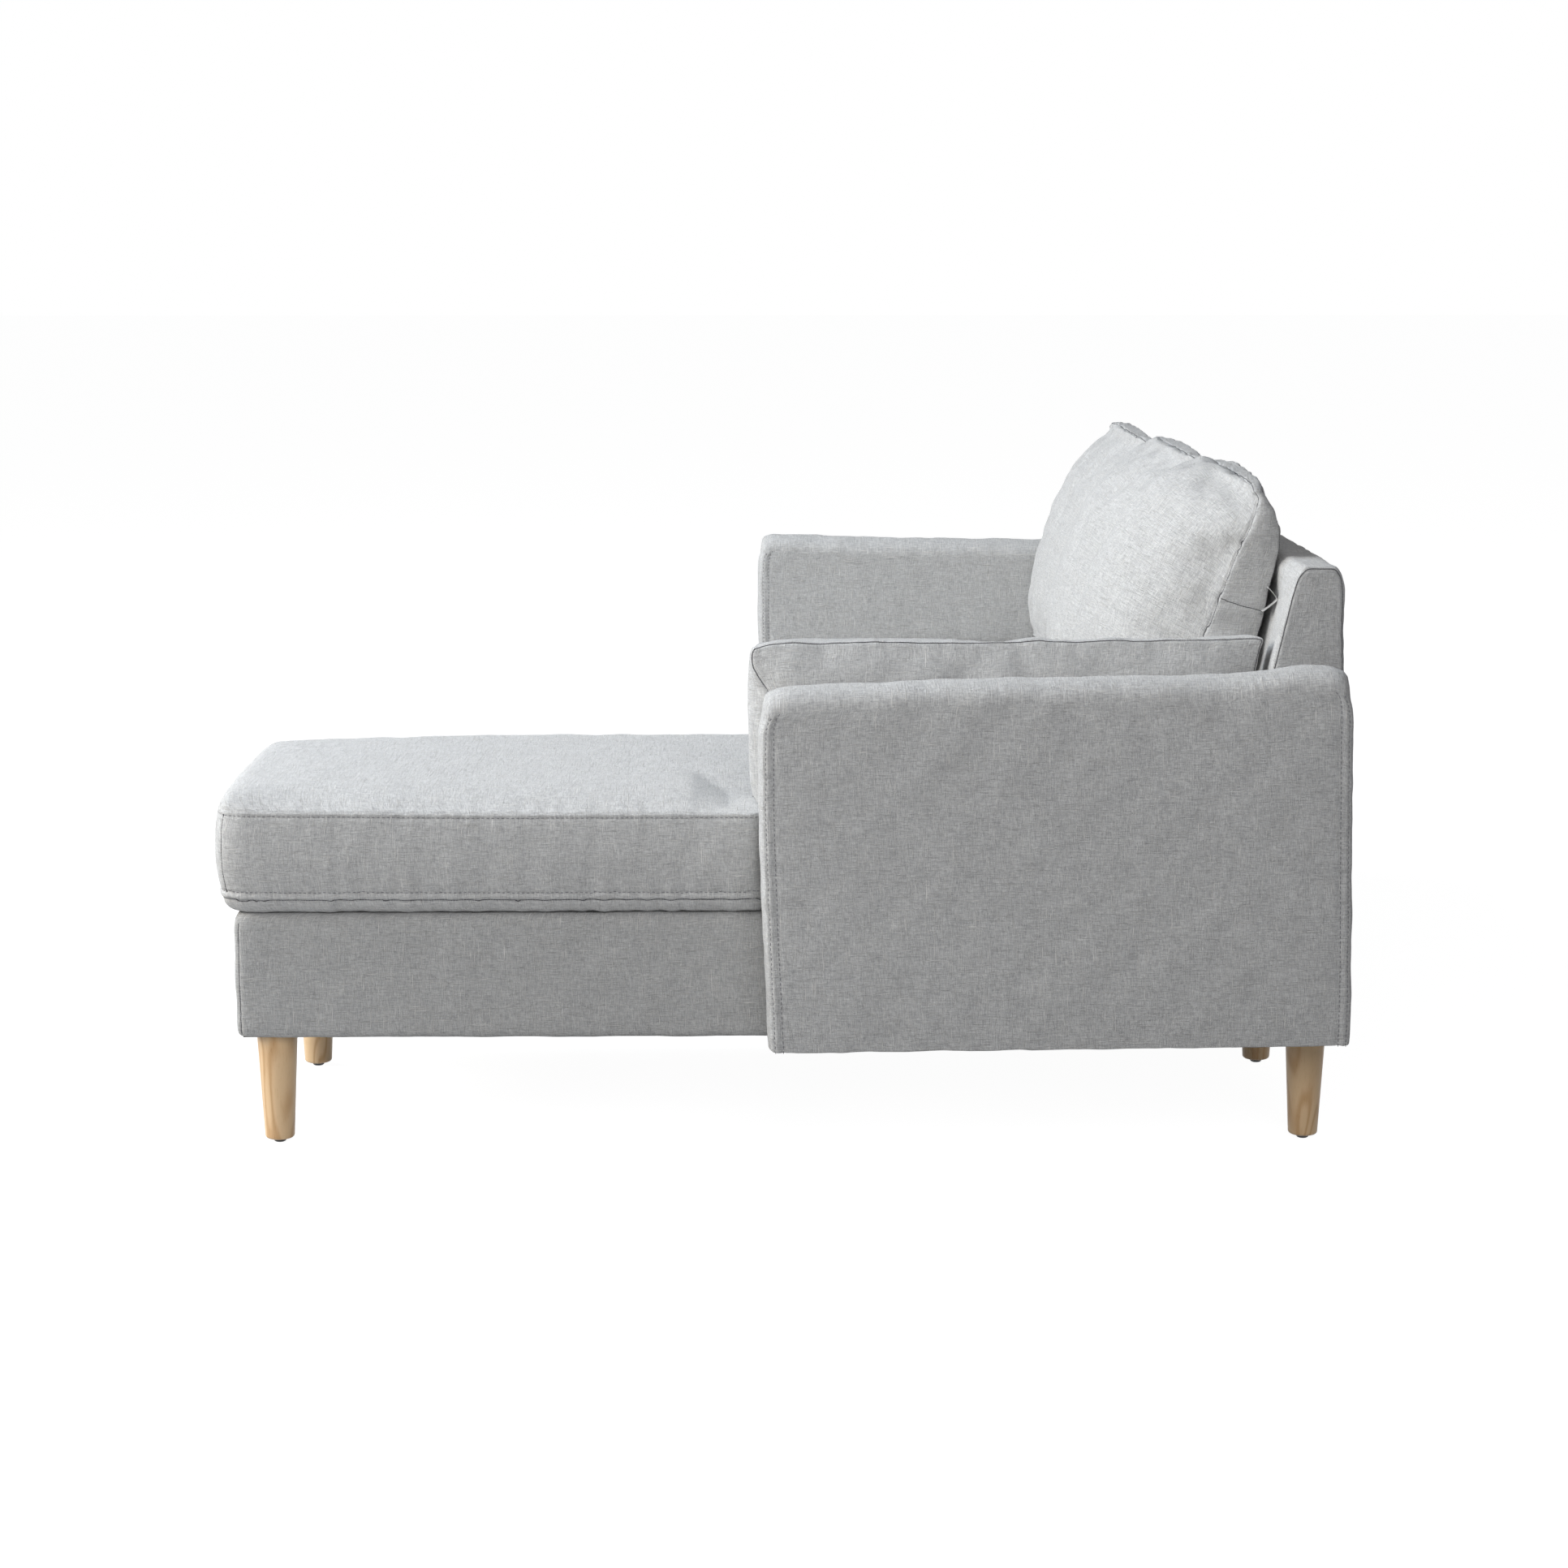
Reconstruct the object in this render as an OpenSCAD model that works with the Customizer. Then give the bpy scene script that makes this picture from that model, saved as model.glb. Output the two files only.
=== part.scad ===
// Two-piece sectional sofa with a chaise on the right.
// Millimetres, +Z up, the sofa faces -Y, and the origin is on the floor under the middle of its outline.

/* [Overall size] */
// Width over both arms
sofa_w = 2000; // [1900:5:2200]
// Depth from the chaise cushion's front to the back of the arms
sofa_d = 1505; // [1420:5:1640]
// Width of the chaise seat, from its arm to the joint between the two sections
chaise_w = 607; // [560:1:660]
// Gap between the two bases at the joint
section_gap = 12; // [11:0.5:16]

/* [Legs] */
// Length of a wooden leg
leg_l = 150; // [90:1:200]
// Diameter at the top of a leg
leg_top_d = 55; // [42:1:56]
// Diameter at the foot of a leg
leg_foot_d = 40; // [26:1:42]
// Rounding of a leg's foot
leg_foot_r = 4; // [1:0.5:6]
// From the front or a side of a base to the middle of a leg
leg_inset = 48; // [42:1:70]
// From the back of a base to the middle of a leg
leg_back_inset = 28; // [28:1:50]
// Distance between the two legs of a pair under the chaise
leg_pitch = 398; // [300:1:440]
// Height of a glide below its leg
glide_h = 6; // [4:0.5:10]
// Diameter of a glide
glide_d = 18; // [14:0.5:22]

/* [Bases] */
// Height of an upholstered base
base_h = 170; // [150:1:220]
// Padding and fabric over the sides of a base
base_pad = 8; // [5:0.5:14]
// Rounding of a base's upright corners
base_corner_r = 16; // [8:1:24]
// Rounding of a base's lower edge
base_edge_r = 10; // [4:1:14]
// Thickness of the timber rails
rail_t = 22; // [18:1:28]
// Thickness of the boards that carry the legs
leg_board_t = 18; // [12:1:24]
// Width of the boards that carry the legs
leg_board_w = 110; // [90:1:140]
// Thickness of the pad on top of a base
deck_t = 20; // [12:1:30]
// Thickness of the elastic webbing
web_t = 2; // [1:0.5:3]
// Width of the elastic webbing
web_w = 70; // [50:1:80]
// Thickness of the dust cover under a base
dust_t = 1; // [0.6:0.1:2]

/* [Arms] */
// Thickness of an arm
arm_w = 90; // [80:1:120]
// Height of the right arm at its front, from the underside of the base
arm_h = 480; // [440:1:540]
// Depth of an arm, over its rounded front and back
arm_d = 786; // [740:1:840]
// How far the middle of the front panel stands out from its seams
arm_front_crown = 9; // [6:1:24]
// How far the foot of the front panel stands behind its top
arm_front_slant = 13; // [0:1:18]
// How far the middle of the back panel stands out from its seams
arm_back_crown = 9; // [4:1:14]
// How far the top of the back panel stands in front of its foot
arm_back_slant = 8; // [0:1:12]
// Rounding over the top of an arm
arm_top_crown = 18; // [8:1:26]
// How far the outer side swells
arm_side_crown = 4; // [0:0.5:8]
// How far the top rises beside the backrest
arm_rise = 13; // [0:1:24]
// How much higher the right arm is at its rear than at its front
arm_lift_right = 15; // [0:1:20]
// How much higher the front of the left arm is than the front of the right one
arm_lift_left = 19; // [0:1:22]
// How much the left arm falls from its front to its rear
arm_fall_left = 12; // [0:1:18]
// How far the front of the left arm stands behind that of the right one
arm_set_left = 9; // [0:1:12]
// Thickness of the timber inside an arm
arm_frame_t = 50; // [36:1:54]

/* [Backrests] */
// Height of a backrest above its base
back_h = 460; // [400:1:520]
// Thickness at the top of a backrest
back_top_t = 65.5; // [56:0.5:80]
// Lean of the front of a backrest, in degrees
back_lean = 11.8; // [6:0.2:14]
// How far the backrest stands in from the back of the arms' panels
back_set_in = 12.5; // [10:0.5:20]
// Foam on the front of a backrest
back_foam = 24; // [16:1:28]
// Padding on the back and ends of a backrest
back_pad = 6; // [4:0.5:10]
// Rounding of the top edges of a backrest
back_edge_r = 11; // [8:1:22]
// Thickness of the backrest posts
post_t = 25; // [20:1:32]
// Thickness of the backrest slats
slat_t = 16; // [12:1:20]
// Height of the backrest slats
slat_h = 60; // [40:1:80]

/* [Seat cushions] */
// Height of a seat cushion up to its top seam
seat_h = 138; // [110:1:170]
// Height of the lower seam above the cushion's underside
seat_seam_h = 26; // [16:1:36]
// How far the top swells above its seam
seat_crown = 20; // [10:1:40]
// How far the sides swell between their seams
seat_swell = 6; // [2:0.5:10]
// How far the underside is drawn in
seat_draw = 16; // [8:1:24]
// Corner rounding of a seat cushion in plan
seat_corner_r = 36; // [20:1:70]
// How far a seat cushion overhangs the front of its base
seat_overhang = 18; // [8:1:36]
// How far the chaise cushion widens in front of the arm
ear_w = 12; // [4:1:20]

/* [Back cushions] */
// Height of the right back cushion up to its top seam
pillow_h_right = 416; // [370:1:460]
// Height of the middle back cushion up to its top seam
pillow_h_middle = 407; // [370:1:460]
// Height of the left back cushion up to its top seam
pillow_h_left = 389; // [370:1:460]
// Depth of the boxing at the foot of a back cushion
pillow_foot_t = 110; // [90:1:140]
// Depth of the boxing at the top of a back cushion
pillow_top_t = 20; // [14:1:40]
// How far the front of the right back cushion swells
pillow_fill_right = 138; // [80:1:150]
// How far the front of the middle back cushion swells
pillow_fill_middle = 112; // [80:1:150]
// How far the front of the left back cushion swells
pillow_fill_left = 84; // [60:1:150]
// Corner rounding of a back cushion
pillow_corner_r = 60; // [30:1:90]
// How far the sides are drawn in between the corners
pillow_draw = 7; // [2:1:14]
// How far the middle of the top stands above its corners
pillow_arch = 17; // [0:1:24]
// Width of the cloth tab behind a back cushion
tab_w = 14; // [10:1:20]
// Length of the cloth tab along the seam
tab_l = 36; // [30:1:50]
// How far the cloth tab is below the top seam of its cushion
tab_drop = 150; // [80:1:240]

/* [Bolster] */
// Height of the bolster
bolster_h = 230; // [180:1:250]
// Thickness of the bolster over both sides
bolster_w = 120; // [100:1:140]
// How far the bolster stands out in front of the arm
bolster_out = 14; // [4:1:30]
// How far each side of the bolster swells
bolster_crown = 18; // [8:1:26]
// How much lower the bolster's top is on the side of the seat
bolster_fall = 10; // [0:1:16]

/* [Section connectors] */
// Thickness of the connector steel
steel_t = 3; // [2.5:0.1:3]
// Width of a hook's tongue
tongue_w = 24; // [18:1:30]
// Length of a hook's tongue
tongue_l = 37; // [25:1:50]
// Height of the sockets' top above the underside of the base
socket_h = 106; // [80:1:120]
// From the front and back of the two-seat base to a connector
connector_inset = 110; // [90:1:180]

/* [Fasteners and clearances] */
// Diameter of the bolts
bolt_d = 8; // [6:1:10]
// Diameter of the screws
screw_d = 5; // [4:0.5:6]
// Clearance around a bolt or screw, on the radius
bolt_gap = 0.2; // [0.1:0.05:0.4]
// Clearance between parts that rest on or against each other
rest_gap = 0.3; // [0.2:0.05:0.5]
// Clearance between soft pieces side by side
soft_gap = 1.5; // [1:0.1:3]
// Clearance between a frame and its cover
cover_gap = 0.2; // [0.1:0.05:0.4]

/* [Hidden] */

// Colours
linen = "#b4b5b8";
linen_base = "#a6a7aa";
beech = "#dfb877";
pine = "#e3c896";
black_cloth = "#2b2b2d";
steel = "#9aa0a6";
webbing = "#d9d4c8";

// Heights
under_z = glide_h + leg_l;
deck_z = under_z + base_h;
deck_low_z = deck_z - deck_t;
side_rail_top = deck_low_z - web_t;
cross_rail_top = side_rail_top - web_t;
board_z = under_z + dust_t;
seat_z = deck_z + rest_gap;
seam_z = seat_z + seat_h;
pillow_z = seam_z + rest_gap;
back_top_z = deck_z + back_h;
arm_top_z = under_z + arm_h;

// Places across the sofa
side_x = sofa_w / 2;
inner_x = side_x - arm_w;
joint_x = inner_x - chaise_w;
chaise_x = [joint_x + section_gap / 2, inner_x];
two_seat_x = [-inner_x, joint_x - section_gap / 2];

// Places from front to back
rear_y = sofa_d / 2;
arm_front_y = rear_y - arm_d;
back_y = rear_y - back_set_in;
chaise_front_y = -sofa_d / 2 + seat_overhang;
two_seat_front_y = arm_front_y + seat_overhang;
back_slope = tan(back_lean);

// Front face of a backrest at height z, and where it meets the deck
function back_front_y(z) = back_y - back_top_t - (back_top_z - z) * back_slope;
deck_back_y = back_front_y(deck_z);

// Base frames: [low x, high x, front y]
chaise = [chaise_x[0], chaise_x[1], chaise_front_y];
two_seat = [two_seat_x[0], two_seat_x[1], two_seat_front_y];

// Middles of the legs of each section, as [x, y]: front right, front left, back right, back left
chaise_legs = [for (y = [chaise_front_y + leg_inset, back_y - leg_back_inset], x = [0, 1])
    [chaise_x[1] - leg_inset - x * leg_pitch, y]];
two_seat_legs = [for (y = [two_seat_front_y + leg_inset, back_y - leg_back_inset],
    x = [two_seat_x[1] - leg_inset, two_seat_x[0] + leg_inset]) [x, y]];

// Fasteners
bolt_hole_d = bolt_d + 2 * bolt_gap;
screw_hole_d = screw_d + 2 * bolt_gap;
bolt_head_d = 1.7 * bolt_d;
bolt_head_h = 0.6 * bolt_d;
nut_d = 2.4 * bolt_d;
nut_t = 2;
leg_bolt_depth = 34;
glide_nail_d = 3;
glide_nail_l = 14;
joint_gap = 0.2;
eps = 0.01;
hole_fn = 32;
screw_fn = 24;

function mix(a, b, t) = a + (b - a) * t;
function clamp01(t) = min(1, max(0, t));
// Runs from 1 at a to 0 at b
function ramp(p, a, b) = clamp01((b - p) / (b - a));
// Rises steeply from an edge and is level from a distance reach inwards
function shoulder(d, reach) = 1 - pow(1 - clamp01(d / reach), 2.5);
// Corners drawn in by a rounding of radius r on a side of half length h
function corner(t, r, h) = 0.29 * r * pow(abs(t), 3 * h / r);

// A box between two corners
module span(a, b) {
    translate(a) cube(b - a);
}

// A closed pad on a grid of u and v. Each row is one turn round the rim, from the low face to the high face,
// and place(u, v, row) gives a point.
module pad(us, vs, rows, place) {
    nu = len(us);
    nv = len(vs);
    last = len(rows) - 1;
    rim = concat([for (i = [0:nu - 1]) [i, 0]], [for (j = [1:nv - 1]) [nu - 1, j]],
        [for (i = [nu - 2:-1:0]) [i, nv - 1]], [for (j = [nv - 2:-1:1]) [0, j]]);
    n = len(rim);
    faces_n = nu * nv;
    low = [for (j = [0:nv - 1], i = [0:nu - 1]) place(us[i], vs[j], rows[0])];
    high = [for (j = [0:nv - 1], i = [0:nu - 1]) place(us[i], vs[j], rows[last])];
    sides = [for (r = [1:1:last - 1], k = [0:n - 1]) place(us[rim[k][0]], vs[rim[k][1]], rows[r])];
    function at(i, j) = j * nu + i;
    function turn(r, k) = let (c = rim[k % n])
        r == 0 ? at(c[0], c[1]) : r == last ? faces_n + at(c[0], c[1]) : 2 * faces_n + (r - 1) * n + k % n;
    low_faces = [for (j = [0:nv - 2], i = [0:nu - 2], h = [0, 1]) h == 0
        ? [at(i, j), at(i + 1, j), at(i + 1, j + 1)] : [at(i, j), at(i + 1, j + 1), at(i, j + 1)]];
    high_faces = [for (f = low_faces) [faces_n + f[2], faces_n + f[1], faces_n + f[0]]];
    side_faces = [for (r = [0:last - 1], k = [0:n - 1], h = [0, 1]) h == 0
        ? [turn(r, k), turn(r + 1, k), turn(r + 1, k + 1)]
        : [turn(r, k), turn(r + 1, k + 1), turn(r, k + 1)]];
    polyhedron(points = concat(low, high, sides), faces = concat(low_faces, high_faces, side_faces));
}

// Places named stations on the range a to b, as values from -1 to 1
function stations(list, a, b) = [for (p = list) 2 * (p - a) / (b - a) - 1];

// Places of the three bolts between a base and its arm
arm_bolt_ys = [for (t = [0.12, 0.4, 0.8]) mix(two_seat_front_y, back_y, t)];
arm_bolt_z = under_z + 62;

// Bores for the arm bolts from x, which reach depth towards +X
module arm_bolt_bores(x, depth) {
    for (y = arm_bolt_ys) translate([x - 1, y, arm_bolt_z]) rotate([0, 90, 0])
        cylinder(d = bolt_hole_d, h = depth + 2, $fn = hole_fn);
}

// Timber rails along the two sides of a base, bored on the side of its arm
module side_rails(s, arm_x) {
    for (x = [s[0] + base_pad + cover_gap, s[1] - base_pad - cover_gap - rail_t])
        difference() {
            span([x, s[2] + base_pad + cover_gap, board_z],
                [x + rail_t, back_y - base_pad - cover_gap, side_rail_top]);
            if (abs(x - arm_x) < 2 * rail_t) arm_bolt_bores(x, rail_t);
        }
}

// Inner faces of the side rails
function rail_in(s) = [s[0] + base_pad + cover_gap + rail_t, s[1] - base_pad - cover_gap - rail_t];
function front_rail_y(s) = s[2] + base_pad + cover_gap;
rear_rail_y = back_y - base_pad - cover_gap - rail_t;
post_bolt_z = under_z + 84;

// Front and rear rails and the stretchers between them
module cross_rails(s, stretchers) {
    x = rail_in(s) + [joint_gap, -joint_gap];
    z = board_z + leg_board_t;
    span([x[0], front_rail_y(s), z], [x[1], front_rail_y(s) + rail_t, cross_rail_top]);
    difference() {
        span([x[0], rear_rail_y, z], [x[1], rear_rail_y + rail_t, cross_rail_top]);
        for (p = post_xs(s)) {
            translate([p + post_t / 2, rear_rail_y - 1, post_bolt_z]) rotate([-90, 0, 0])
                cylinder(d = bolt_hole_d, h = rail_t + 2, $fn = hole_fn);
            translate([p + post_t / 2, rear_rail_y + rail_t - nut_t, post_bolt_z]) rotate([-90, 0, 0])
                cylinder(d = nut_d + 1, h = nut_t + 1, $fn = hole_fn);
        }
    }
    stretcher_h = 60;
    for (k = [1:1:stretchers]) {
        y = mix(front_rail_y(s) + rail_t, rear_rail_y, k / (stretchers + 1));
        span([x[0], y - rail_t / 2, z], [x[1], y + rail_t / 2, z + stretcher_h]);
    }
}

// Boards across the front and back that the legs are bolted to
module leg_boards(s, legs) {
    x = rail_in(s) + [joint_gap, -joint_gap];
    for (y = [front_rail_y(s), rear_rail_y + rail_t - leg_board_w])
        difference() {
            span([x[0], y, board_z], [x[1], y + leg_board_w, board_z + leg_board_t]);
            for (p = legs) translate([p[0], p[1], board_z - 1])
                cylinder(d = bolt_hole_d, h = leg_board_t + 2, $fn = hole_fn);
        }
}

// Elastic straps: long ones from front to back between the posts, and short ones across on top of them
strap_pitch = 112;
module seat_webbing(s) {
    x = rail_in(s);
    y = [front_rail_y(s), rear_rail_y + rail_t];
    posts = post_xs(s);
    for (k = [0:len(posts) - 2], t = [0.26, 0.74]) {
        c = mix(posts[k] + post_t, posts[k + 1], t);
        span([c - web_w / 2, y[0], cross_rail_top], [c + web_w / 2, y[1], side_rail_top - joint_gap]);
    }
    first = y[0] + rail_t + web_w / 2;
    last = deck_back_y - rest_gap - web_w / 2;
    short_n = floor((last - first) / strap_pitch);
    for (k = [0:short_n]) {
        c = mix(first, last, k / short_n);
        span([x[0] - rail_t, c - web_w / 2, side_rail_top], [x[1] + rail_t, c + web_w / 2, deck_low_z]);
    }
}

// Foam pad on top of a base, in front of the backrest
module deck_pad(s) {
    span([s[0] + base_pad + cover_gap, s[2] + base_pad + cover_gap, deck_low_z],
        [s[1] - base_pad - cover_gap, deck_back_y - rest_gap, deck_z]);
}

// Fabric and padding round the four sides of a base
module base_cover(s, arm_x, plates) {
    r = base_corner_r;
    e = base_edge_r;
    difference() {
        hull() {
            for (x = [s[0] + r, s[1] - r], y = [s[2] + r, back_y - r]) {
                translate([x, y, deck_z - 1]) cylinder(r = r, h = 1, $fn = hole_fn);
                translate([x, y, under_z + e]) cylinder(r = r, h = 1, $fn = hole_fn);
                translate([x, y, under_z + 0.3 * e]) cylinder(r = r - 0.3 * e, h = 1, $fn = hole_fn);
                translate([x, y, under_z]) cylinder(r = r - 0.75 * e, h = 1, $fn = hole_fn);
            }
        }
        span([s[0] + base_pad, s[2] + base_pad, under_z - 1],
            [s[1] - base_pad, back_y - base_pad, deck_z + 1]);
        arm_bolt_bores(arm_x - base_pad, 2 * base_pad);
        for (p = plates) translate([p[0] - base_pad - 1, p[1], p[2]]) rotate([0, 90, 0])
            cylinder(d = screw_hole_d, h = 2 * base_pad + 2, $fn = screw_fn);
    }
}

// Thin black cloth under a base
module dust_cover(s, legs) {
    g = base_pad + cover_gap;
    difference() {
        span([s[0] + g, s[2] + g, under_z], [s[1] - g, back_y - g, board_z]);
        for (p = legs) translate([p[0], p[1], under_z - 1])
            cylinder(d = bolt_hole_d, h = dust_t + 2, $fn = hole_fn);
    }
}

// Round tapered leg with a rounded foot, bored for its bolt and the nail of its glide
module leg(p) {
    rt = leg_top_d / 2;
    rf = leg_foot_d / 2;
    r = leg_foot_r;
    foot = [for (a = [-90:15:0]) [rf - r + r * cos(a), r + r * sin(a)]];
    translate([p[0], p[1], glide_h]) difference() {
        rotate_extrude($fn = 64)
            polygon(concat([[0, 0]], foot, [[rt, leg_l - 0.5], [rt - 0.5, leg_l], [0, leg_l]]));
        translate([0, 0, leg_l - leg_bolt_depth - 1])
            cylinder(d = bolt_hole_d, h = leg_bolt_depth + 2, $fn = hole_fn);
        translate([0, 0, -1])
            cylinder(d = glide_nail_d + 2 * bolt_gap, h = glide_nail_l + 2, $fn = screw_fn);
    }
}

// Threaded rods between the legs and their boards
module leg_bolts(legs) {
    for (p = legs) translate([p[0], p[1], under_z - leg_bolt_depth])
        cylinder(d = bolt_d, h = leg_bolt_depth + dust_t + leg_board_t - 1, $fn = hole_fn);
}

// Domed black glides with a flat underside, nailed into the feet
module glides(legs) {
    rg = glide_d / 2;
    flat = 0.62 * rg;
    dome = [for (t = [0:0.2:1]) [mix(flat, rg, sin(90 * t)), (glide_h - 1.5) * (1 - cos(90 * t))]];
    for (p = legs) translate([p[0], p[1], 0]) {
        rotate_extrude($fn = 48) polygon(concat([[0, 0]], dome, [[rg, glide_h], [0, glide_h]]));
        translate([0, 0, glide_h - 1]) cylinder(d = glide_nail_d, h = glide_nail_l + 1, $fn = screw_fn);
    }
}

// Arm: places on the right-hand side, mirrored for the left arm, whose cover differs a little
arm_in_pad = 14;
arm_edge_pad = 30;
arm_frame_x = inner_x + arm_in_pad + cover_gap;
arm_seam_y = [arm_front_y + arm_front_crown, rear_y - arm_back_crown];
arm_frame_y = arm_seam_y + [arm_edge_pad, -arm_edge_pad];
arm_frame_z = [under_z + 12, arm_top_z - arm_top_crown - 12];
arm_rail_h = 90;
arm_post_w = 45;
arm_posts_n = 4;

module arm_posts() {
    z = [arm_frame_z[0] + arm_rail_h + joint_gap, arm_frame_z[1] - arm_post_w - joint_gap];
    for (k = [0:arm_posts_n - 1]) {
        y = mix(arm_frame_y[0], arm_frame_y[1] - arm_post_w, k / (arm_posts_n - 1));
        span([arm_frame_x, y, z[0]], [arm_frame_x + arm_frame_t, y + arm_post_w, z[1]]);
    }
}

module arm_rails() {
    difference() {
        span([arm_frame_x, arm_frame_y[0], arm_frame_z[0]],
            [arm_frame_x + arm_frame_t, arm_frame_y[1], arm_frame_z[0] + arm_rail_h]);
        arm_bolt_bores(arm_frame_x, arm_frame_t);
        for (y = arm_bolt_ys) translate([arm_frame_x + arm_frame_t - nut_t, y, arm_bolt_z]) rotate([0, 90, 0])
            cylinder(d = nut_d + 1, h = nut_t + 1, $fn = hole_fn);
    }
    span([arm_frame_x, arm_frame_y[0], arm_frame_z[1] - arm_post_w],
        [arm_frame_x + arm_frame_t, arm_frame_y[1], arm_frame_z[1]]);
}

// Upholstered arm: flat on the inside, crowned front, rounded top, and a rise beside the backrest.
// lift gives how much the top stands up at the front and at the rear, and set how far the front stands back.
arm_rise_y = [back_y - 180, back_y - 50];
arm_reach = 120;
module arm_cover(lift, set) {
    y0 = arm_seam_y[0];
    y1 = arm_seam_y[1];
    top = arm_top_z - arm_top_crown;
    half_y = (y1 - y0) / 2;
    half_z = (top - under_z) / 2;
    ys = [y0, y0 + 6, y0 + 18, y0 + 45, y0 + 130, y0 + 300, y0 + 450, arm_rise_y[0],
        (arm_rise_y[0] + arm_rise_y[1]) / 2, arm_rise_y[1], y1 - 18, y1 - 6, y1];
    zs = [under_z, under_z + 50, under_z + 120, under_z + 210, top - 130, top - 30, top - 10, top];
    us = stations(ys, y0, y1);
    vs = stations(zs, under_z, top);
    // Each row: distance from the inner face, roundness, and side crown
    rows = [for (t = [0, 0.05, 0.15, 0.3, 0.5, 0.7, 0.85, 0.95, 1])
        [t * (arm_w - arm_side_crown), pow(1 - pow(abs(2 * t - 1), 2.6), 0.6), t == 1 ? arm_side_crown : 0]];
    place = function(u, v, row) let (
        along = (u + 1) / 2,
        up = (v + 1) / 2,
        front = y0 + set + arm_front_slant * pow(1 - clamp01(up / 0.75), 1.3),
        rear = y1 - arm_back_slant * clamp01((up - 0.2) / 0.7),
        y = mix(front, rear, along),
        slope = mix(lift[0], lift[1], 1 - pow(1 - along, 2.8)),
        rise = (slope + arm_rise * (1 - ramp(y, arm_rise_y[0], arm_rise_y[1]))) * pow(clamp01(v), 2),
        out_y = (u == -1 ? -arm_front_crown : u == 1 ? arm_back_crown : 0) * row[1],
        out_z = (v == 1 ? arm_top_crown : 0) * row[1],
        dome = shoulder((1 - abs(u)) * half_y, arm_reach) * shoulder((1 - abs(v)) * half_z, arm_reach))
        [inner_x + row[0] + row[2] * dome,
            y + out_y - u * corner(max(0, v), 24, half_z),
            mix(under_z, top + rise, up) + out_z - (v == -1 ? 0 : corner(u, 24, half_y) * clamp01(v))];
    difference() {
        pad(us, vs, rows, place);
        span([arm_frame_x - cover_gap, arm_frame_y[0] - cover_gap, arm_frame_z[0] - cover_gap],
            [arm_frame_x + arm_frame_t + cover_gap, arm_frame_y[1] + cover_gap, arm_frame_z[1] + cover_gap]);
        arm_bolt_bores(inner_x, arm_in_pad);
    }
}

// Bolts from inside the base, through its side rail, into nuts in the arm's lower rail
module arm_bolts() {
    head_x = inner_x - base_pad - cover_gap - rail_t;
    end_x = arm_frame_x + arm_frame_t;
    for (y = arm_bolt_ys) {
        translate([head_x - bolt_head_h, y, arm_bolt_z]) rotate([0, 90, 0])
            cylinder(d = bolt_head_d, h = bolt_head_h, $fn = 6);
        translate([head_x - 1, y, arm_bolt_z]) rotate([0, 90, 0])
            cylinder(d = bolt_d, h = end_x - head_x + 1, $fn = hole_fn);
        difference() {
            translate([end_x - nut_t, y, arm_bolt_z]) rotate([0, 90, 0])
                cylinder(d = nut_d, h = nut_t, $fn = hole_fn);
            translate([end_x - nut_t - 1, y, arm_bolt_z]) rotate([0, 90, 0])
                cylinder(d = bolt_hole_d, h = nut_t + 2, $fn = hole_fn);
        }
    }
}

// Low sides of the backrest posts
posts_pitch = 290;
function post_xs(s) = let (x = rail_in(s) + [joint_gap, -joint_gap - post_t],
    n = 2 * round((x[1] - x[0]) / posts_pitch / 2)) [for (k = [0:n]) mix(x[0], x[1], k / n)];

// Inner faces of a backrest cover
back_in_y = back_y - back_pad;
function foam_y(z) = back_front_y(z) + back_foam;
back_in_top = back_top_z - 14;
post_foot_z = under_z + 40;
post_foot_d = 60;

// Wedge-shaped posts, notched to stand on the rear rail
module back_posts(s) {
    lean_t = cover_gap + slat_t / cos(back_lean) + joint_gap;
    top = back_in_top - cover_gap - joint_gap;
    rear = back_y - max(back_pad, base_pad) - cover_gap;
    outline = [[rear_rail_y - joint_gap, post_foot_z], [rear_rail_y - joint_gap, cross_rail_top],
        [rear, cross_rail_top], [rear, top], [foam_y(top) + lean_t, top], [foam_y(deck_z) + lean_t, deck_z],
        [rear_rail_y - post_foot_d, cross_rail_top - 30], [rear_rail_y - post_foot_d, post_foot_z]];
    for (p = post_xs(s))
        difference() {
            translate([p + post_t, 0, 0]) rotate([90, 0, -90]) mirror([1, 0, 0])
                linear_extrude(post_t) polygon(outline);
            translate([p + post_t / 2, rear_rail_y - post_foot_d - 1, post_bolt_z]) rotate([-90, 0, 0])
                cylinder(d = bolt_hole_d, h = post_foot_d + 2, $fn = hole_fn);
        }
}

// Leaning slats across the front of the posts
module back_slats(s) {
    xs = post_xs(s);
    length = xs[len(xs) - 1] + post_t - xs[0];
    for (t = [0.06, 0.44, 0.82]) {
        z = mix(deck_z, back_in_top, t);
        translate([xs[0], foam_y(z) + cover_gap, z]) rotate([-back_lean, 0, 0])
            cube([length, slat_t, slat_h]);
    }
}

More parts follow.
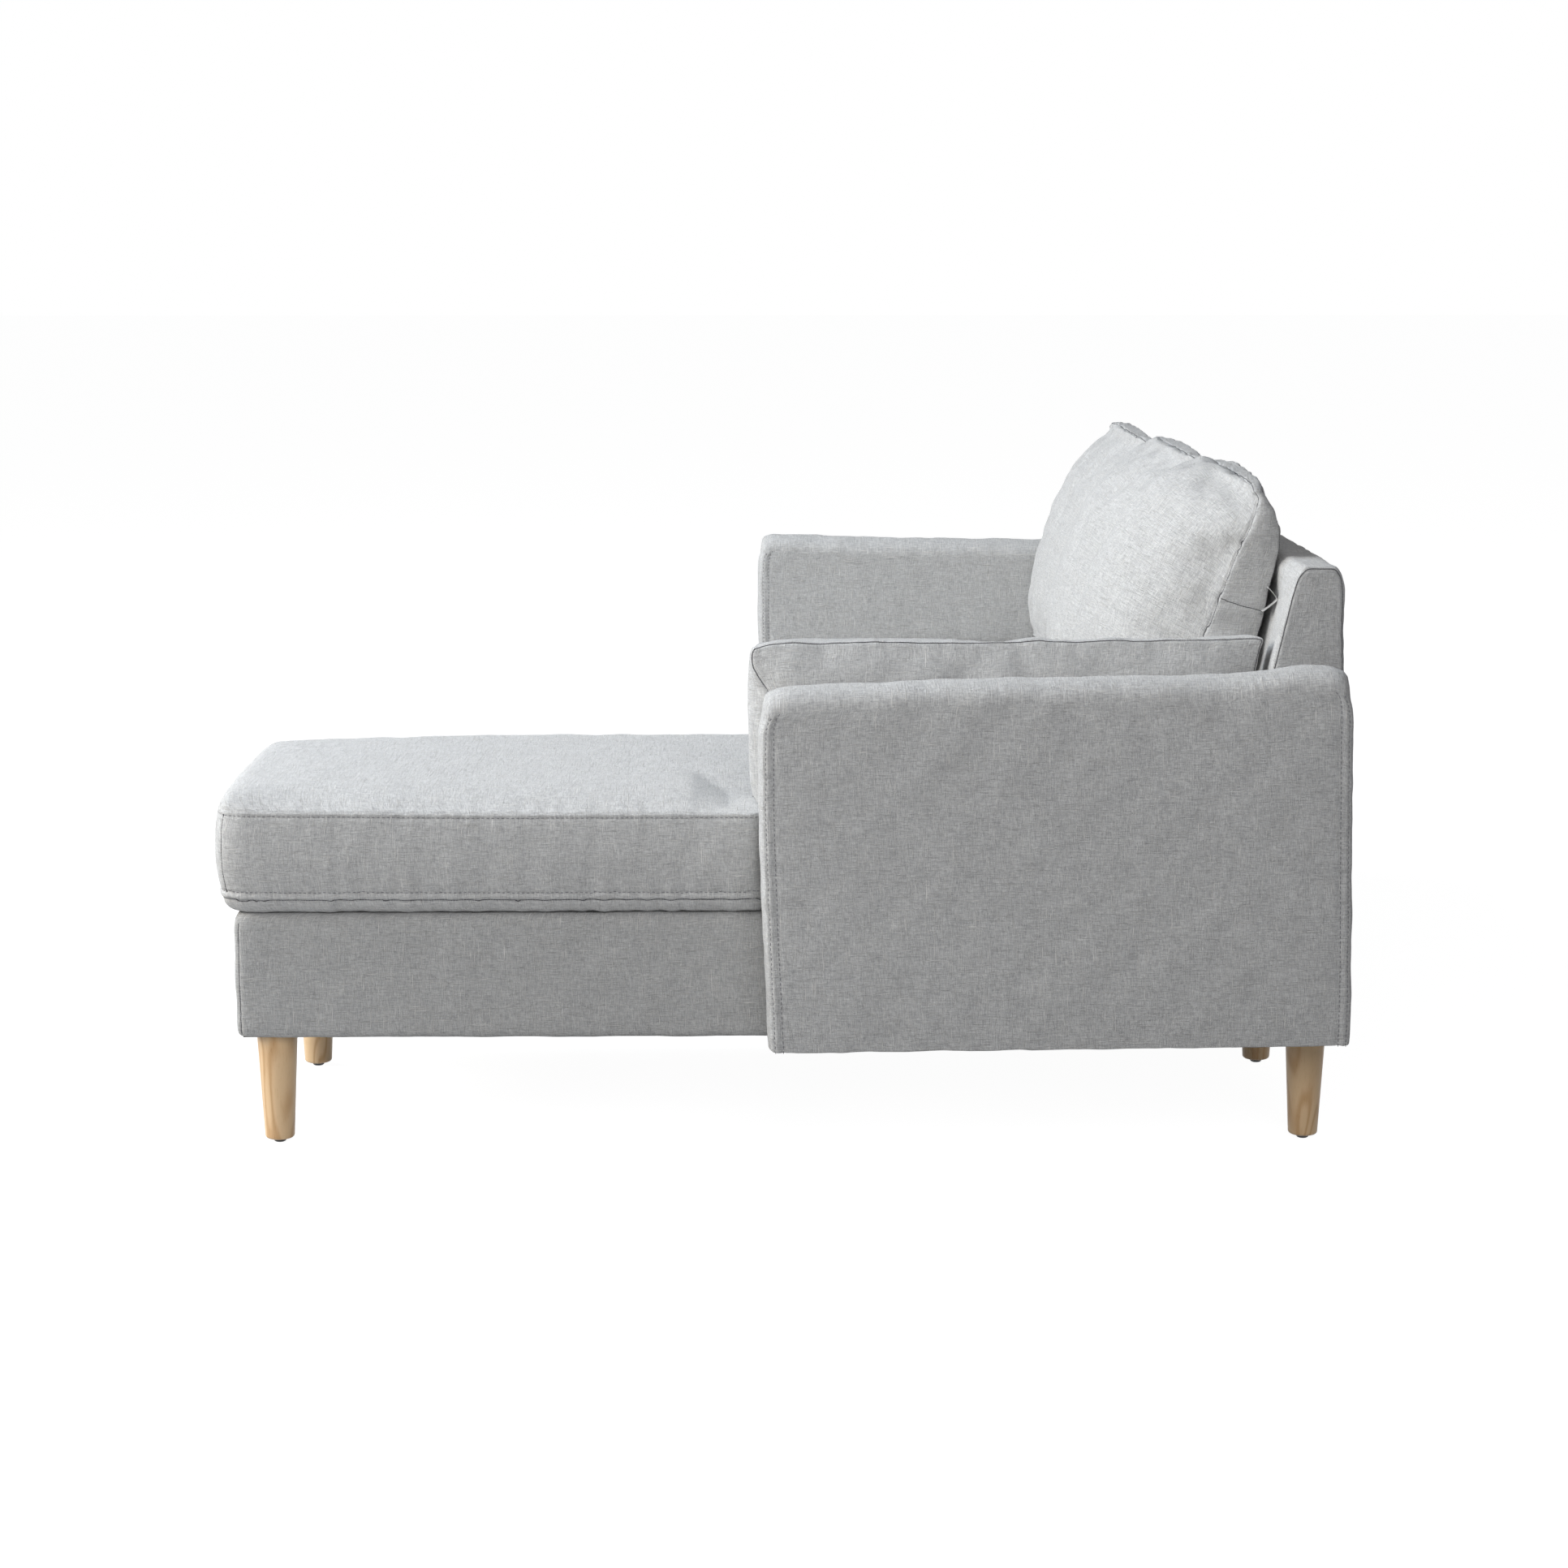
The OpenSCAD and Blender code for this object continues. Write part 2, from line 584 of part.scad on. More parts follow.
// Bolts through the feet of the posts into nuts in the rear rail
module back_bolts(s) {
    for (p = post_xs(s)) translate([p + post_t / 2, 0, post_bolt_z]) {
        head_y = rear_rail_y - post_foot_d;
        translate([0, head_y - bolt_head_h, 0]) rotate([-90, 0, 0])
            cylinder(d = bolt_head_d, h = bolt_head_h, $fn = 6);
        translate([0, head_y - 1, 0]) rotate([-90, 0, 0])
            cylinder(d = bolt_d, h = post_foot_d + rail_t + 1, $fn = hole_fn);
        difference() {
            translate([0, rear_rail_y + rail_t - nut_t, 0]) rotate([-90, 0, 0])
                cylinder(d = nut_d, h = nut_t, $fn = hole_fn);
            translate([0, rear_rail_y + rail_t - nut_t - 1, 0]) rotate([-90, 0, 0])
                cylinder(d = bolt_hole_d, h = nut_t + 2, $fn = hole_fn);
        }
    }
}

// Points of an arc of radius r round c, from angle a to angle b
function arc(c, r, a, b) = [for (k = [0:6]) c + r * [cos(mix(a, b, k / 6)), sin(mix(a, b, k / 6))]];

// Upholstered backrest: upright behind, leaning in front, rounded along the top, open below for its posts
module back_cover(x0, x1) {
    r = back_edge_r;
    // Middle of the rounding between the leaning front and the top
    front_c = [back_front_y(back_top_z - r) + r / cos(back_lean), back_top_z - r];
    outer = concat([[back_y, deck_z]], arc([back_y - r, back_top_z - r], r, 0, 90),
        arc(front_c, r, 90, 180 - back_lean), [[deck_back_y, deck_z]]);
    inner = [[back_in_y, deck_z - 1], [back_in_y, back_in_top], [foam_y(back_in_top), back_in_top],
        [foam_y(deck_z - 1), deck_z - 1]];
    difference() {
        profile(outer, x0, x1);
        profile(inner, x0 + back_pad, x1 - back_pad);
    }
}

// A profile in Y and Z, drawn out from x0 to x1
module profile(points, x0, x1) {
    translate([x1, 0, 0]) rotate([90, 0, -90]) mirror([1, 0, 0]) linear_extrude(x1 - x0) polygon(points);
}

// Connectors: sockets on the chaise base and hooks on the two-seat base
connector_ys = [two_seat_front_y + connector_inset, back_y - connector_inset];
socket_top = under_z + socket_h;
socket_low = socket_top - tongue_l;
socket_face = chaise_x[0];
hook_face = two_seat_x[1];
pocket_w = tongue_w + 2;
flange_w = 22;
flange_screw = pocket_w / 2 + steel_t + flange_w / 2;
hook_plate_w = 44;
hook_plate_h = 46;
hook_screw = 13;
hook_screw_z = socket_top + 28;

// Screw places, as [x, y, z]
socket_screw_z = socket_top - tongue_l / 2;
socket_screws = [for (y = connector_ys, d = [-1, 1]) [socket_face, y + d * flange_screw, socket_screw_z]];
hook_screws = [for (y = connector_ys, d = [-1, 1]) [hook_face, y + d * hook_screw, hook_screw_z]];

// Folded steel sockets, open above and below, with a flange at each side
module sockets() {
    bridge_x = hook_face + rest_gap;
    for (y = connector_ys) difference() {
        union() {
            for (d = [-1, 1]) {
                inside = y + d * pocket_w / 2;
                outside = inside + d * steel_t;
                end = outside + d * flange_w;
                span([bridge_x, min(inside, outside), socket_low],
                    [socket_face, max(inside, outside), socket_top]);
                span([socket_face - steel_t, min(inside, end), socket_low],
                    [socket_face, max(inside, end), socket_top]);
            }
            span([bridge_x, y - pocket_w / 2 - steel_t, socket_low],
                [bridge_x + steel_t, y + pocket_w / 2 + steel_t, socket_top]);
        }
        for (d = [-1, 1])
            translate([socket_face - steel_t - 1, y + d * flange_screw, socket_screw_z])
                rotate([0, 90, 0]) cylinder(d = screw_hole_d, h = steel_t + 2, $fn = screw_fn);
    }
}

// Steel hooks whose tongues drop into the sockets
module hooks() {
    x0 = hook_face;
    x1 = hook_face + rest_gap + steel_t + rest_gap;
    for (y = connector_ys) {
        difference() {
            span([x0, y - hook_plate_w / 2, socket_top + rest_gap],
                [x0 + steel_t, y + hook_plate_w / 2, socket_top + rest_gap + hook_plate_h]);
            for (d = [-1, 1]) translate([x0 - 1, y + d * hook_screw, hook_screw_z]) rotate([0, 90, 0])
                cylinder(d = screw_hole_d, h = steel_t + 2, $fn = screw_fn);
        }
        span([x0 + steel_t - eps, y - tongue_w / 2, socket_top + rest_gap],
            [x1 + steel_t, y + tongue_w / 2, socket_top + rest_gap + steel_t]);
        span([x1, y - tongue_w / 2, socket_low + 2],
            [x1 + steel_t, y + tongue_w / 2, socket_top + rest_gap + eps]);
    }
}

// Round-headed screws: way is 1 where they enter towards +X and -1 where they enter towards -X
module screws(places, plate_t, way) {
    head_d = 2 * screw_d;
    head_h = 0.4 * screw_d;
    length = plate_t + base_pad + rail_t - 4;
    for (p = places) translate([p[0] - way * plate_t, p[1], p[2]]) rotate([0, 90 * way, 0]) {
        translate([0, 0, -eps]) cylinder(d = screw_d, h = length, $fn = screw_fn);
        translate([0, 0, -head_h]) cylinder(d = head_d, h = head_h, $fn = hole_fn);
    }
}

// Screw holes in a side rail
module screw_bores(places) {
    for (p = places) translate([p[0] - base_pad - rail_t - 2, p[1], p[2]]) rotate([0, 90, 0])
        cylinder(d = screw_hole_d, h = 2 * (base_pad + rail_t + 2), $fn = screw_fn);
}

// Boxed seat cushion. Its top lies flat where the back cushion, and on the chaise the bolster, press on it.
// s gives low x, high x, front y; ear is the extra width in front of the arm.
cushion_back_y = deck_back_y - soft_gap;
press_y = cushion_back_y - 175;
press_x = inner_x - bolster_w - 6;
module seat_cushion(x0, x1, y0, ear) {
    y1 = cushion_back_y;
    ear_y = arm_front_y - soft_gap;
    cx = (x0 + x1) / 2;
    cy = (y0 + y1) / 2;
    a = (x1 - x0) / 2 - seat_swell;
    b = (y1 - y0) / 2 - seat_swell;
    flat = ear > 0;
    xs = concat([cx - a, cx - a + 10, cx - a + 26, cx - a + 50, cx - a + 100, cx - 60, cx + 60],
        flat ? [press_x - 90, press_x - 45, press_x] : [cx + a - 100],
        [cx + a - 50, cx + a - 26, cx + a - 10, cx + a]);
    front = [cy - b, cy - b + 10, cy - b + 26, cy - b + 50, cy - b + 110];
    middle = flat ? [cy - 0.5 * b, ear_y - 90, ear_y - 40, ear_y - 1, ear_y + 12, 0.5 * (ear_y + press_y)]
        : [cy - 0.3 * b];
    ys = concat(front, middle, [press_y - 90, press_y - 45, press_y, cy + b - 26, cy + b]);
    us = stations(xs, cx - a, cx + a);
    vs = stations(ys, cy - b, cy + b);
    // Each row: height, how far it stands out, and how far the face swells
    rows = [[0, -seat_draw, 0], [0.35 * seat_seam_h, -0.3 * seat_draw, 0], [seat_seam_h, 0, 0],
        [mix(seat_seam_h, seat_h, 0.5), seat_swell, 0], [seat_h, 0, seat_crown]];
    place = function(u, v, row) let (
        y = cy + v * (b + row[1] - corner(u, seat_corner_r, a)),
        widen = ear * ramp(y, ear_y - 1, ear_y + 12) * (u > 0 ? pow(u, 6) : 0),
        x = cx + u * (a + row[1] - corner(v, seat_corner_r, b)) + widen,
        free = ramp(y, press_y - 90, press_y) * (flat
            ? max(ramp(x, press_x - 90, press_x), ramp(y, ear_y - 90, ear_y - 40)) : 1),
        dome = shoulder((1 - abs(u)) * a, 100) * shoulder((1 - abs(v)) * b, 110) * free)
        [x, y, seat_z + row[0] + row[2] * dome];
    pad(us, vs, rows, place);
}

// Wedge-shaped back cushion: its back lies on the backrest and its front swells from seam to seam
pillow_swell = 6;
back_gap = soft_gap / 2;
// Above over_z the back of a cushion bends back over the backrest
over_z = back_top_z + 35;
over_bend = 0.0147;
module back_cushion(x0, x1, pillow_h, fill) {
    cx = (x0 + x1) / 2;
    a = (x1 - x0) / 2 - pillow_swell;
    foot_y = back_front_y(pillow_z) - back_gap;
    seam_foot_y = foot_y - pillow_foot_t;
    top_z = pillow_z + pillow_h;
    top_back_y = back_front_y(top_z) - back_gap - over_bend * pow(top_z - over_z, 2);
    seam_top_y = top_back_y - pillow_top_t;
    us = [-1, -0.97, -0.89, -0.76, -0.55, -0.3, 0, 0.3, 0.55, 0.76, 0.89, 0.97, 1];
    vs = [-1, -0.96, -0.85, -0.68, -0.46, -0.2, 0.06, 0.3, 0.52, 0.71, 0.86, 0.96, 1];
    // Each row: place from the back seam to the front seam, how far it stands out, and the swell of the face
    rows = [[0, 0, 0], [0.25, 0.75, 0], [0.6, 1, 0], [1, 0, fill]];
    place = function(u, v, row) let (
        t = (v + 1) / 2,
        edge = row[1] * pillow_swell,
        side = u * (a - corner(max(0, v), pillow_corner_r, pillow_h / 2) - pillow_draw * (1 - v * v)
            + (abs(u) == 1 ? edge : 0)),
        z = pillow_z + t * (pillow_h + pillow_arch * (1 - u * u) - corner(u, pillow_corner_r, a))
            + (v == 1 ? edge : 0),
        back = back_front_y(z) - back_gap - (z > over_z ? over_bend * pow(z - over_z, 2) : 0),
        seam = mix(seam_foot_y, seam_top_y, t),
        full = row[2] * sqrt(max(0, 1 - pow(abs(u), 2.6))) * sqrt(max(0, 1 - pow(abs(v), 2.4))))
        [cx + side, mix(back, min(seam, back - pillow_top_t), row[0]) - 0.95 * full, z + 0.3 * t * full];
    pad(us, vs, rows, place);
}

// Folded cloth tab on the right side of a back cushion, sewn into its back seam
tab_t = 3;
module cushion_tab(x1, pillow_h) {
    z = pillow_z + pillow_h - tab_drop;
    // Side of the cushion beside its tab
    side = x1 - 0.25 * pillow_swell - 0.8 * pillow_draw;
    translate([side + rest_gap, back_front_y(z - tab_l / 2) - 1, z]) rotate([0, 90, 0]) intersection() {
        cylinder(d = tab_l, h = tab_t, $fn = 48);
        translate([-tab_l / 2, -tab_w, 0]) cube([tab_l, tab_w, tab_t]);
    }
}

// Slim boxed bolster that stands against the inside of the right arm
module bolster() {
    y0 = arm_front_y - bolster_out;
    half_x = bolster_w / 2 - bolster_crown;
    cx = inner_x - rest_gap - bolster_w / 2;
    half_y = (back_front_y(pillow_z) - y0) / 2;
    half_z = bolster_h / 2;
    us = [-1, -0.975, -0.92, -0.83, -0.68, -0.4, 0, 0.4, 0.68, 0.84, 0.93, 0.98, 1];
    vs = [-1, -0.85, -0.55, -0.15, 0.25, 0.58, 0.82, 0.95, 1];
    swell = 6;
    // Each row: distance from the middle, how far it stands out, and how far the face swells
    rows = [[-half_x, 0, -bolster_crown], [-0.5 * half_x, 0.8, 0], [0, 1, 0], [0.5 * half_x, 0.8, 0],
        [half_x, 0, bolster_crown]];
    place = function(u, v, row) let (
        edge = row[1] * swell,
        front_low = 16 * pow((1 - u) / 2, 5),
        t = (v + 1) / 2,
        fall = front_low + mix(bolster_fall, 0, (row[0] + half_x) / (2 * half_x)),
        z = pillow_z + t * (bolster_h - swell - fall - 0.6 * corner(u, 40, half_y))
            + (v == 1 ? 0.6 * edge : 0),
        rear = back_front_y(z) - soft_gap - swell,
        y = mix(y0 + swell, rear, (u + 1) / 2) + (u == -1 ? -edge * clamp01(4 * t) : u == 1 ? edge : 0)
            - u * 0.6 * corner(v, 40, half_z),
        dome = shoulder((1 - abs(u)) * half_y, 90) * shoulder((1 - abs(v)) * half_z, 80))
        [cx + row[0] + row[2] * dome, y, z];
    pad(us, vs, rows, place);
}

// Places of the cushions across the sofa
chaise_cushion_x = [joint_x + soft_gap / 2, inner_x - soft_gap];
seat_middle_x = (joint_x - inner_x) / 2;
middle_cushion_x = [seat_middle_x + soft_gap / 2, joint_x - soft_gap / 2];
left_cushion_x = [-inner_x + soft_gap, seat_middle_x - soft_gap / 2];
right_pillow_x = [joint_x + soft_gap / 2, inner_x - rest_gap - bolster_w - soft_gap];

module chaise_side_rails() color(pine) difference() {
    side_rails(chaise, chaise_x[1]);
    screw_bores(socket_screws);
}
module chaise_cross_rails() color(pine) cross_rails(chaise, 2);
module chaise_leg_boards() color(pine) leg_boards(chaise, chaise_legs);
module chaise_webbing() color(webbing) seat_webbing(chaise);
module chaise_deck_pad() color(linen_base) deck_pad(chaise);
module chaise_base_cover() color(linen_base) base_cover(chaise, chaise_x[1], socket_screws);
module chaise_dust_cover() color(black_cloth) dust_cover(chaise, chaise_legs);
module chaise_leg_front_right() color(beech) leg(chaise_legs[0]);
module chaise_leg_front_left() color(beech) leg(chaise_legs[1]);
module chaise_leg_back_right() color(beech) leg(chaise_legs[2]);
module chaise_leg_back_left() color(beech) leg(chaise_legs[3]);
module chaise_leg_bolts() color(steel) leg_bolts(chaise_legs);
module chaise_glides() color(black_cloth) glides(chaise_legs);
module right_arm_posts() color(pine) arm_posts();
module right_arm_rails() color(pine) arm_rails();
module right_arm_cover() color(linen) arm_cover([0, arm_lift_right], 0);
module right_arm_bolts() color(steel) arm_bolts();
module chaise_back_posts() color(pine) back_posts(chaise);
module chaise_back_slats() color(pine) back_slats(chaise);
module chaise_back_bolts() color(steel) back_bolts(chaise);
module chaise_back_cover() color(linen) back_cover(joint_x + soft_gap / 2, inner_x);
module connector_sockets() color(steel) sockets();
module connector_socket_screws() color(steel) screws(socket_screws, steel_t, 1);
module two_seat_side_rails() color(pine) difference() {
    side_rails(two_seat, two_seat_x[0]);
    screw_bores(hook_screws);
}
module two_seat_cross_rails() color(pine) cross_rails(two_seat, 1);
module two_seat_leg_boards() color(pine) leg_boards(two_seat, two_seat_legs);
module two_seat_webbing() color(webbing) seat_webbing(two_seat);
module two_seat_deck_pad() color(linen_base) deck_pad(two_seat);
module two_seat_base_cover() color(linen_base) base_cover(two_seat, two_seat_x[0], hook_screws);
module two_seat_dust_cover() color(black_cloth) dust_cover(two_seat, two_seat_legs);
module two_seat_leg_front_right() color(beech) leg(two_seat_legs[0]);
module two_seat_leg_front_left() color(beech) leg(two_seat_legs[1]);
module two_seat_leg_back_right() color(beech) leg(two_seat_legs[2]);
module two_seat_leg_back_left() color(beech) leg(two_seat_legs[3]);
module two_seat_leg_bolts() color(steel) leg_bolts(two_seat_legs);
module two_seat_glides() color(black_cloth) glides(two_seat_legs);
module left_arm_posts() color(pine) mirror([1, 0, 0]) arm_posts();
module left_arm_rails() color(pine) mirror([1, 0, 0]) arm_rails();
module left_arm_cover() color(linen) mirror([1, 0, 0])
    arm_cover([arm_lift_left, arm_lift_left - arm_fall_left], arm_set_left);
module left_arm_bolts() color(steel) mirror([1, 0, 0]) arm_bolts();
module two_seat_back_posts() color(pine) back_posts(two_seat);
module two_seat_back_slats() color(pine) back_slats(two_seat);
module two_seat_back_bolts() color(steel) back_bolts(two_seat);
module two_seat_back_cover() color(linen) back_cover(-inner_x, joint_x - soft_gap / 2);
module connector_hooks() color(steel) hooks();
module connector_hook_screws() color(steel) screws(hook_screws, steel_t, -1);
module chaise_seat_cushion() color(linen)
    seat_cushion(chaise_cushion_x[0], chaise_cushion_x[1], -sofa_d / 2, ear_w);
module middle_seat_cushion() color(linen)
    seat_cushion(middle_cushion_x[0], middle_cushion_x[1], arm_front_y, 0);
module left_seat_cushion() color(linen)
    seat_cushion(left_cushion_x[0], left_cushion_x[1], arm_front_y, 0);
module right_back_cushion() color(linen)
    back_cushion(right_pillow_x[0], right_pillow_x[1], pillow_h_right, pillow_fill_right);
module middle_back_cushion() color(linen)
    back_cushion(middle_cushion_x[0], middle_cushion_x[1], pillow_h_middle, pillow_fill_middle);
module left_back_cushion() color(linen)
    back_cushion(left_cushion_x[0], left_cushion_x[1], pillow_h_left, pillow_fill_left);
module right_cushion_tab() color(linen_base) cushion_tab(right_pillow_x[1], pillow_h_right);
module middle_cushion_tab() color(linen_base) cushion_tab(middle_cushion_x[1], pillow_h_middle);
module left_cushion_tab() color(linen_base) cushion_tab(left_cushion_x[1], pillow_h_left);
module bolster_cushion() color(linen) bolster();

chaise_side_rails();
chaise_cross_rails();
chaise_leg_boards();
chaise_webbing();
chaise_deck_pad();
chaise_base_cover();
chaise_dust_cover();
chaise_leg_front_right();
chaise_leg_front_left();
chaise_leg_back_right();
chaise_leg_back_left();
chaise_leg_bolts();
chaise_glides();
right_arm_posts();
right_arm_rails();
right_arm_cover();
right_arm_bolts();
chaise_back_posts();
chaise_back_slats();
chaise_back_bolts();
chaise_back_cover();
connector_sockets();
connector_socket_screws();
two_seat_side_rails();
two_seat_cross_rails();
two_seat_leg_boards();
two_seat_webbing();
two_seat_deck_pad();
two_seat_base_cover();
two_seat_dust_cover();
two_seat_leg_front_right();
two_seat_leg_front_left();
two_seat_leg_back_right();
two_seat_leg_back_left();
two_seat_leg_bolts();
two_seat_glides();
left_arm_posts();
left_arm_rails();
left_arm_cover();
left_arm_bolts();
two_seat_back_posts();
two_seat_back_slats();
two_seat_back_bolts();
two_seat_back_cover();
connector_hooks();
connector_hook_screws();
chaise_seat_cushion();
middle_seat_cushion();
left_seat_cushion();
right_back_cushion();
middle_back_cushion();
left_back_cushion();
right_cushion_tab();
middle_cushion_tab();
left_cushion_tab();
bolster_cushion();
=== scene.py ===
# %% [markdown]
# # A sectional sofa with a chaise, dressed in slubby grey linen
# The sofa's real sizes, joints and hidden timber come from the CAD model, which is loaded as a fixed frame.
# This lesson gives it its looks: sewn and stuffed covers, seams, stitches, wood and light.
# Everything is in metres and in the CAD model's own frame: +Z is up, the sofa faces -Y, the chaise is at +X.

# %% Load the frame
import math
from dataclasses import dataclass
import bpy
import numpy as np
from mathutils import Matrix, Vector
from mathutils.bvhtree import BVHTree
from mathutils.kdtree import KDTree


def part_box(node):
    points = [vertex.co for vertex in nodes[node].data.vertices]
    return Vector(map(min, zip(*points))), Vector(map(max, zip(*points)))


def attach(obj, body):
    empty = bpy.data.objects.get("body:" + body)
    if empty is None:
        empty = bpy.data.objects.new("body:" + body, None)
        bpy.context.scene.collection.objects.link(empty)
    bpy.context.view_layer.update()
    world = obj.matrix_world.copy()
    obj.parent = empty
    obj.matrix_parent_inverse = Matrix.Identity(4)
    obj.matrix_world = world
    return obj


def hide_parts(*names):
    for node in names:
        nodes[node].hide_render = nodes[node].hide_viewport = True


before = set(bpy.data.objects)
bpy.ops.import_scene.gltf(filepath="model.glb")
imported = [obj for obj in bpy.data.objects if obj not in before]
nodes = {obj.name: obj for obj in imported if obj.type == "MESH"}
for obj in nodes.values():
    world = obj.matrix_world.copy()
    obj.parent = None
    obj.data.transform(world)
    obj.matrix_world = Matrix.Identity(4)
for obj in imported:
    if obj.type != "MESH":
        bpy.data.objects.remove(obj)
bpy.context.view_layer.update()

# %% [markdown]
# ## The camera
# The photograph looks at the chaise side from four metres away and a little above, with a long lens. The camera
# was worked out from the sofa's own straight edges and known sizes. A camera looks along its own -Z, so it is
# turned from a direction vector with `to_track_quat`.

# %% Make the camera
CAMERA_AT = (5.0312, -0.0552, 1.2292)
CAMERA_YAW, CAMERA_PITCH = math.radians(0.7755), math.radians(10.0128)
FOCAL_PX, IMAGE_PX = 3889.5, 1932


def new_object(name, data):
    made = bpy.data.objects.new(name, data)
    bpy.context.scene.collection.objects.link(made)
    return made


def aim(thing, at, direction):
    """Sets a camera or a lamp at a place, looking along a direction."""
    thing.location = at
    thing.rotation_mode = "QUATERNION"
    thing.rotation_quaternion = direction.to_track_quat("-Z", "Y")


camera = new_object("camera", bpy.data.cameras.new("camera"))
aim(camera, CAMERA_AT, Vector((-math.cos(CAMERA_YAW) * math.cos(CAMERA_PITCH),
                               math.sin(CAMERA_YAW) * math.cos(CAMERA_PITCH), -math.sin(CAMERA_PITCH))))
camera.data.sensor_width = 36
camera.data.lens = FOCAL_PX * camera.data.sensor_width / IMAGE_PX
camera.data.clip_end = 100
bpy.context.scene.camera = camera
print("lens", round(camera.data.lens, 2), "mm")

# %% [markdown]
# ## Colour and node helpers
# A given colour is an sRGB value, but shaders add and multiply light, which is linear: one function turns
# a hex value to linear. Another adds a node with its settings and links in one line, which keeps a recipe short.

# %% Helpers for materials
def linear(hex_value):
    channels = [int(hex_value[i:i + 2], 16) / 255 for i in (1, 3, 5)]
    return tuple(c / 12.92 if c <= 0.04045 else ((c + 0.055) / 1.055) ** 2.4 for c in channels) + (1.0,)


def new_material(name):
    material = bpy.data.materials.new(name)
    material.use_nodes = True
    material.node_tree.nodes.clear()
    return material, material.node_tree


def add(tree, kind, inputs=None, **settings):
    """Adds a node. Settings are its properties; inputs are values, or sockets to link from."""
    node = tree.nodes.new(kind)
    for key, value in settings.items():
        setattr(node, key, value)
    for key, value in (inputs or {}).items():
        if isinstance(value, bpy.types.NodeSocket):
            tree.links.new(value, node.inputs[key])
        else:
            node.inputs[key].default_value = value
    return node


def maths(tree, operation, *values):
    return add(tree, "ShaderNodeMath", dict(enumerate(values)), operation=operation).outputs[0]


def stretch(tree, value, low, high, to_low=0.0, to_high=1.0, smooth=False):
    """Maps low..high to to_low..to_high, and holds the ends."""
    ends = {"Value": value, "From Min": low, "From Max": high, "To Min": to_low, "To Max": to_high}
    return add(tree, "ShaderNodeMapRange", ends, interpolation_type="SMOOTHSTEP" if smooth else "LINEAR").outputs[0]


def noise(tree, scale=1.0, **inputs):
    return add(tree, "ShaderNodeTexNoise", {"Scale": scale, **inputs}).outputs["Fac"]


def blend(tree, factor, a, b):
    """Colour a where the factor is 0, colour b where it is 1."""
    return add(tree, "ShaderNodeMix", {"Factor": factor, "A": a, "B": b}, data_type="RGBA").outputs["Result"]


def finish_surface(tree, colour, rough, height, strength, depth, more):
    """Ends a recipe. The height becomes bump: relief of the given depth in metres that only shades."""
    bump = add(tree, "ShaderNodeBump", {"Height": height, "Strength": strength, "Distance": depth}).outputs[0]
    shader = add(tree, "ShaderNodeBsdfPrincipled", {"Base Color": colour, "Roughness": rough, "Normal": bump, **more})
    add(tree, "ShaderNodeOutputMaterial", {"Surface": shader.outputs[0]})


# %% [markdown]
# ## The linen
# A plain weave of uneven, linen-look yarn in light grey. Each lane across the cloth is its own yarn, 1.1 mm wide,
# so the pattern is noise that is stretched along the thread: streaks of 9 mm, and thicker slubs of 45 mm. Streaks
# along both threads add up to the heathered grey, and only the thickest slubs show on it, as pale dashes.
# The cloth follows its own UV map in metres, so the threads run along each sewn panel as they do on the cover.

# %% Make the linen
YARN, STREAK = 0.0011, 0.009
SLUB, SLUB_LENGTH = 0.0012, 0.045


def yarns(tree, split, along, across, width, length, seed, detail=1.0):
    """Noise in long thin streaks: so many metres wide and long."""
    run, lane = maths(tree, "MULTIPLY", split[along], 1 / length), maths(tree, "MULTIPLY", split[across], 1 / width)
    place = add(tree, "ShaderNodeCombineXYZ", {"X": run, "Y": lane, "Z": seed}).outputs[0]
    return noise(tree, Vector=place, Detail=detail, Roughness=0.6)


def linen(name, pale, dark, thread):
    """Plain-woven polyester linen. Matt, with a faint sheen at grazing angles from loose fibres."""
    material, tree = new_material(name)
    uv = add(tree, "ShaderNodeUVMap", uv_map="weave").outputs["UV"]
    split = add(tree, "ShaderNodeSeparateXYZ", {"Vector": uv}).outputs
    warp = yarns(tree, split, "X", "Y", YARN, STREAK, 3.7)
    weft = yarns(tree, split, "Y", "X", YARN, STREAK, 11.3)
    warp_slub = yarns(tree, split, "X", "Y", SLUB, SLUB_LENGTH, 23.1, detail=2.0)
    weft_slub = yarns(tree, split, "Y", "X", SLUB, SLUB_LENGTH, 31.9, detail=2.0)
    # Short floats: the spots, one or two yarns long, where one yarn passes over the other
    floats = noise(tree, 620.0, Vector=uv, Detail=1.0)
    heather = stretch(tree, maths(tree, "MULTIPLY_ADD", floats, 0.5, maths(tree, "ADD", warp, weft)), 0.86, 1.60)
    # Only the thickest stretches of a yarn count as slubs
    slubs = maths(tree, "MAXIMUM", *(stretch(tree, slub, 0.58, 0.68, smooth=True) for slub in (warp_slub, weft_slub)))
    base = blend(tree, heather, linear(dark), linear(pale))
    slubbed = blend(tree, maths(tree, "MULTIPLY", slubs, 0.62), base, linear(thread))
    # Large soft patches where the dye and the pile take the light a little differently
    cloud = noise(tree, 9.0, Vector=uv, Detail=3.0, Roughness=0.55)
    shade = stretch(tree, cloud, 0.3, 0.7, 0.985, 1.015)
    colour = add(tree, "ShaderNodeVectorMath", {0: slubbed, "Scale": shade}, operation="SCALE").outputs[0]
    height = maths(tree, "MULTIPLY_ADD", slubs, 0.75, maths(tree, "MULTIPLY", heather, 0.55))
    rough = stretch(tree, heather, 0.0, 1.0, 0.97, 0.86)
    finish_surface(tree, colour, rough, height, 1.0, 0.0006,
                   {"Sheen Weight": 0.18, "Sheen Roughness": 0.5, "Specular IOR Level": 0.25})
    return material


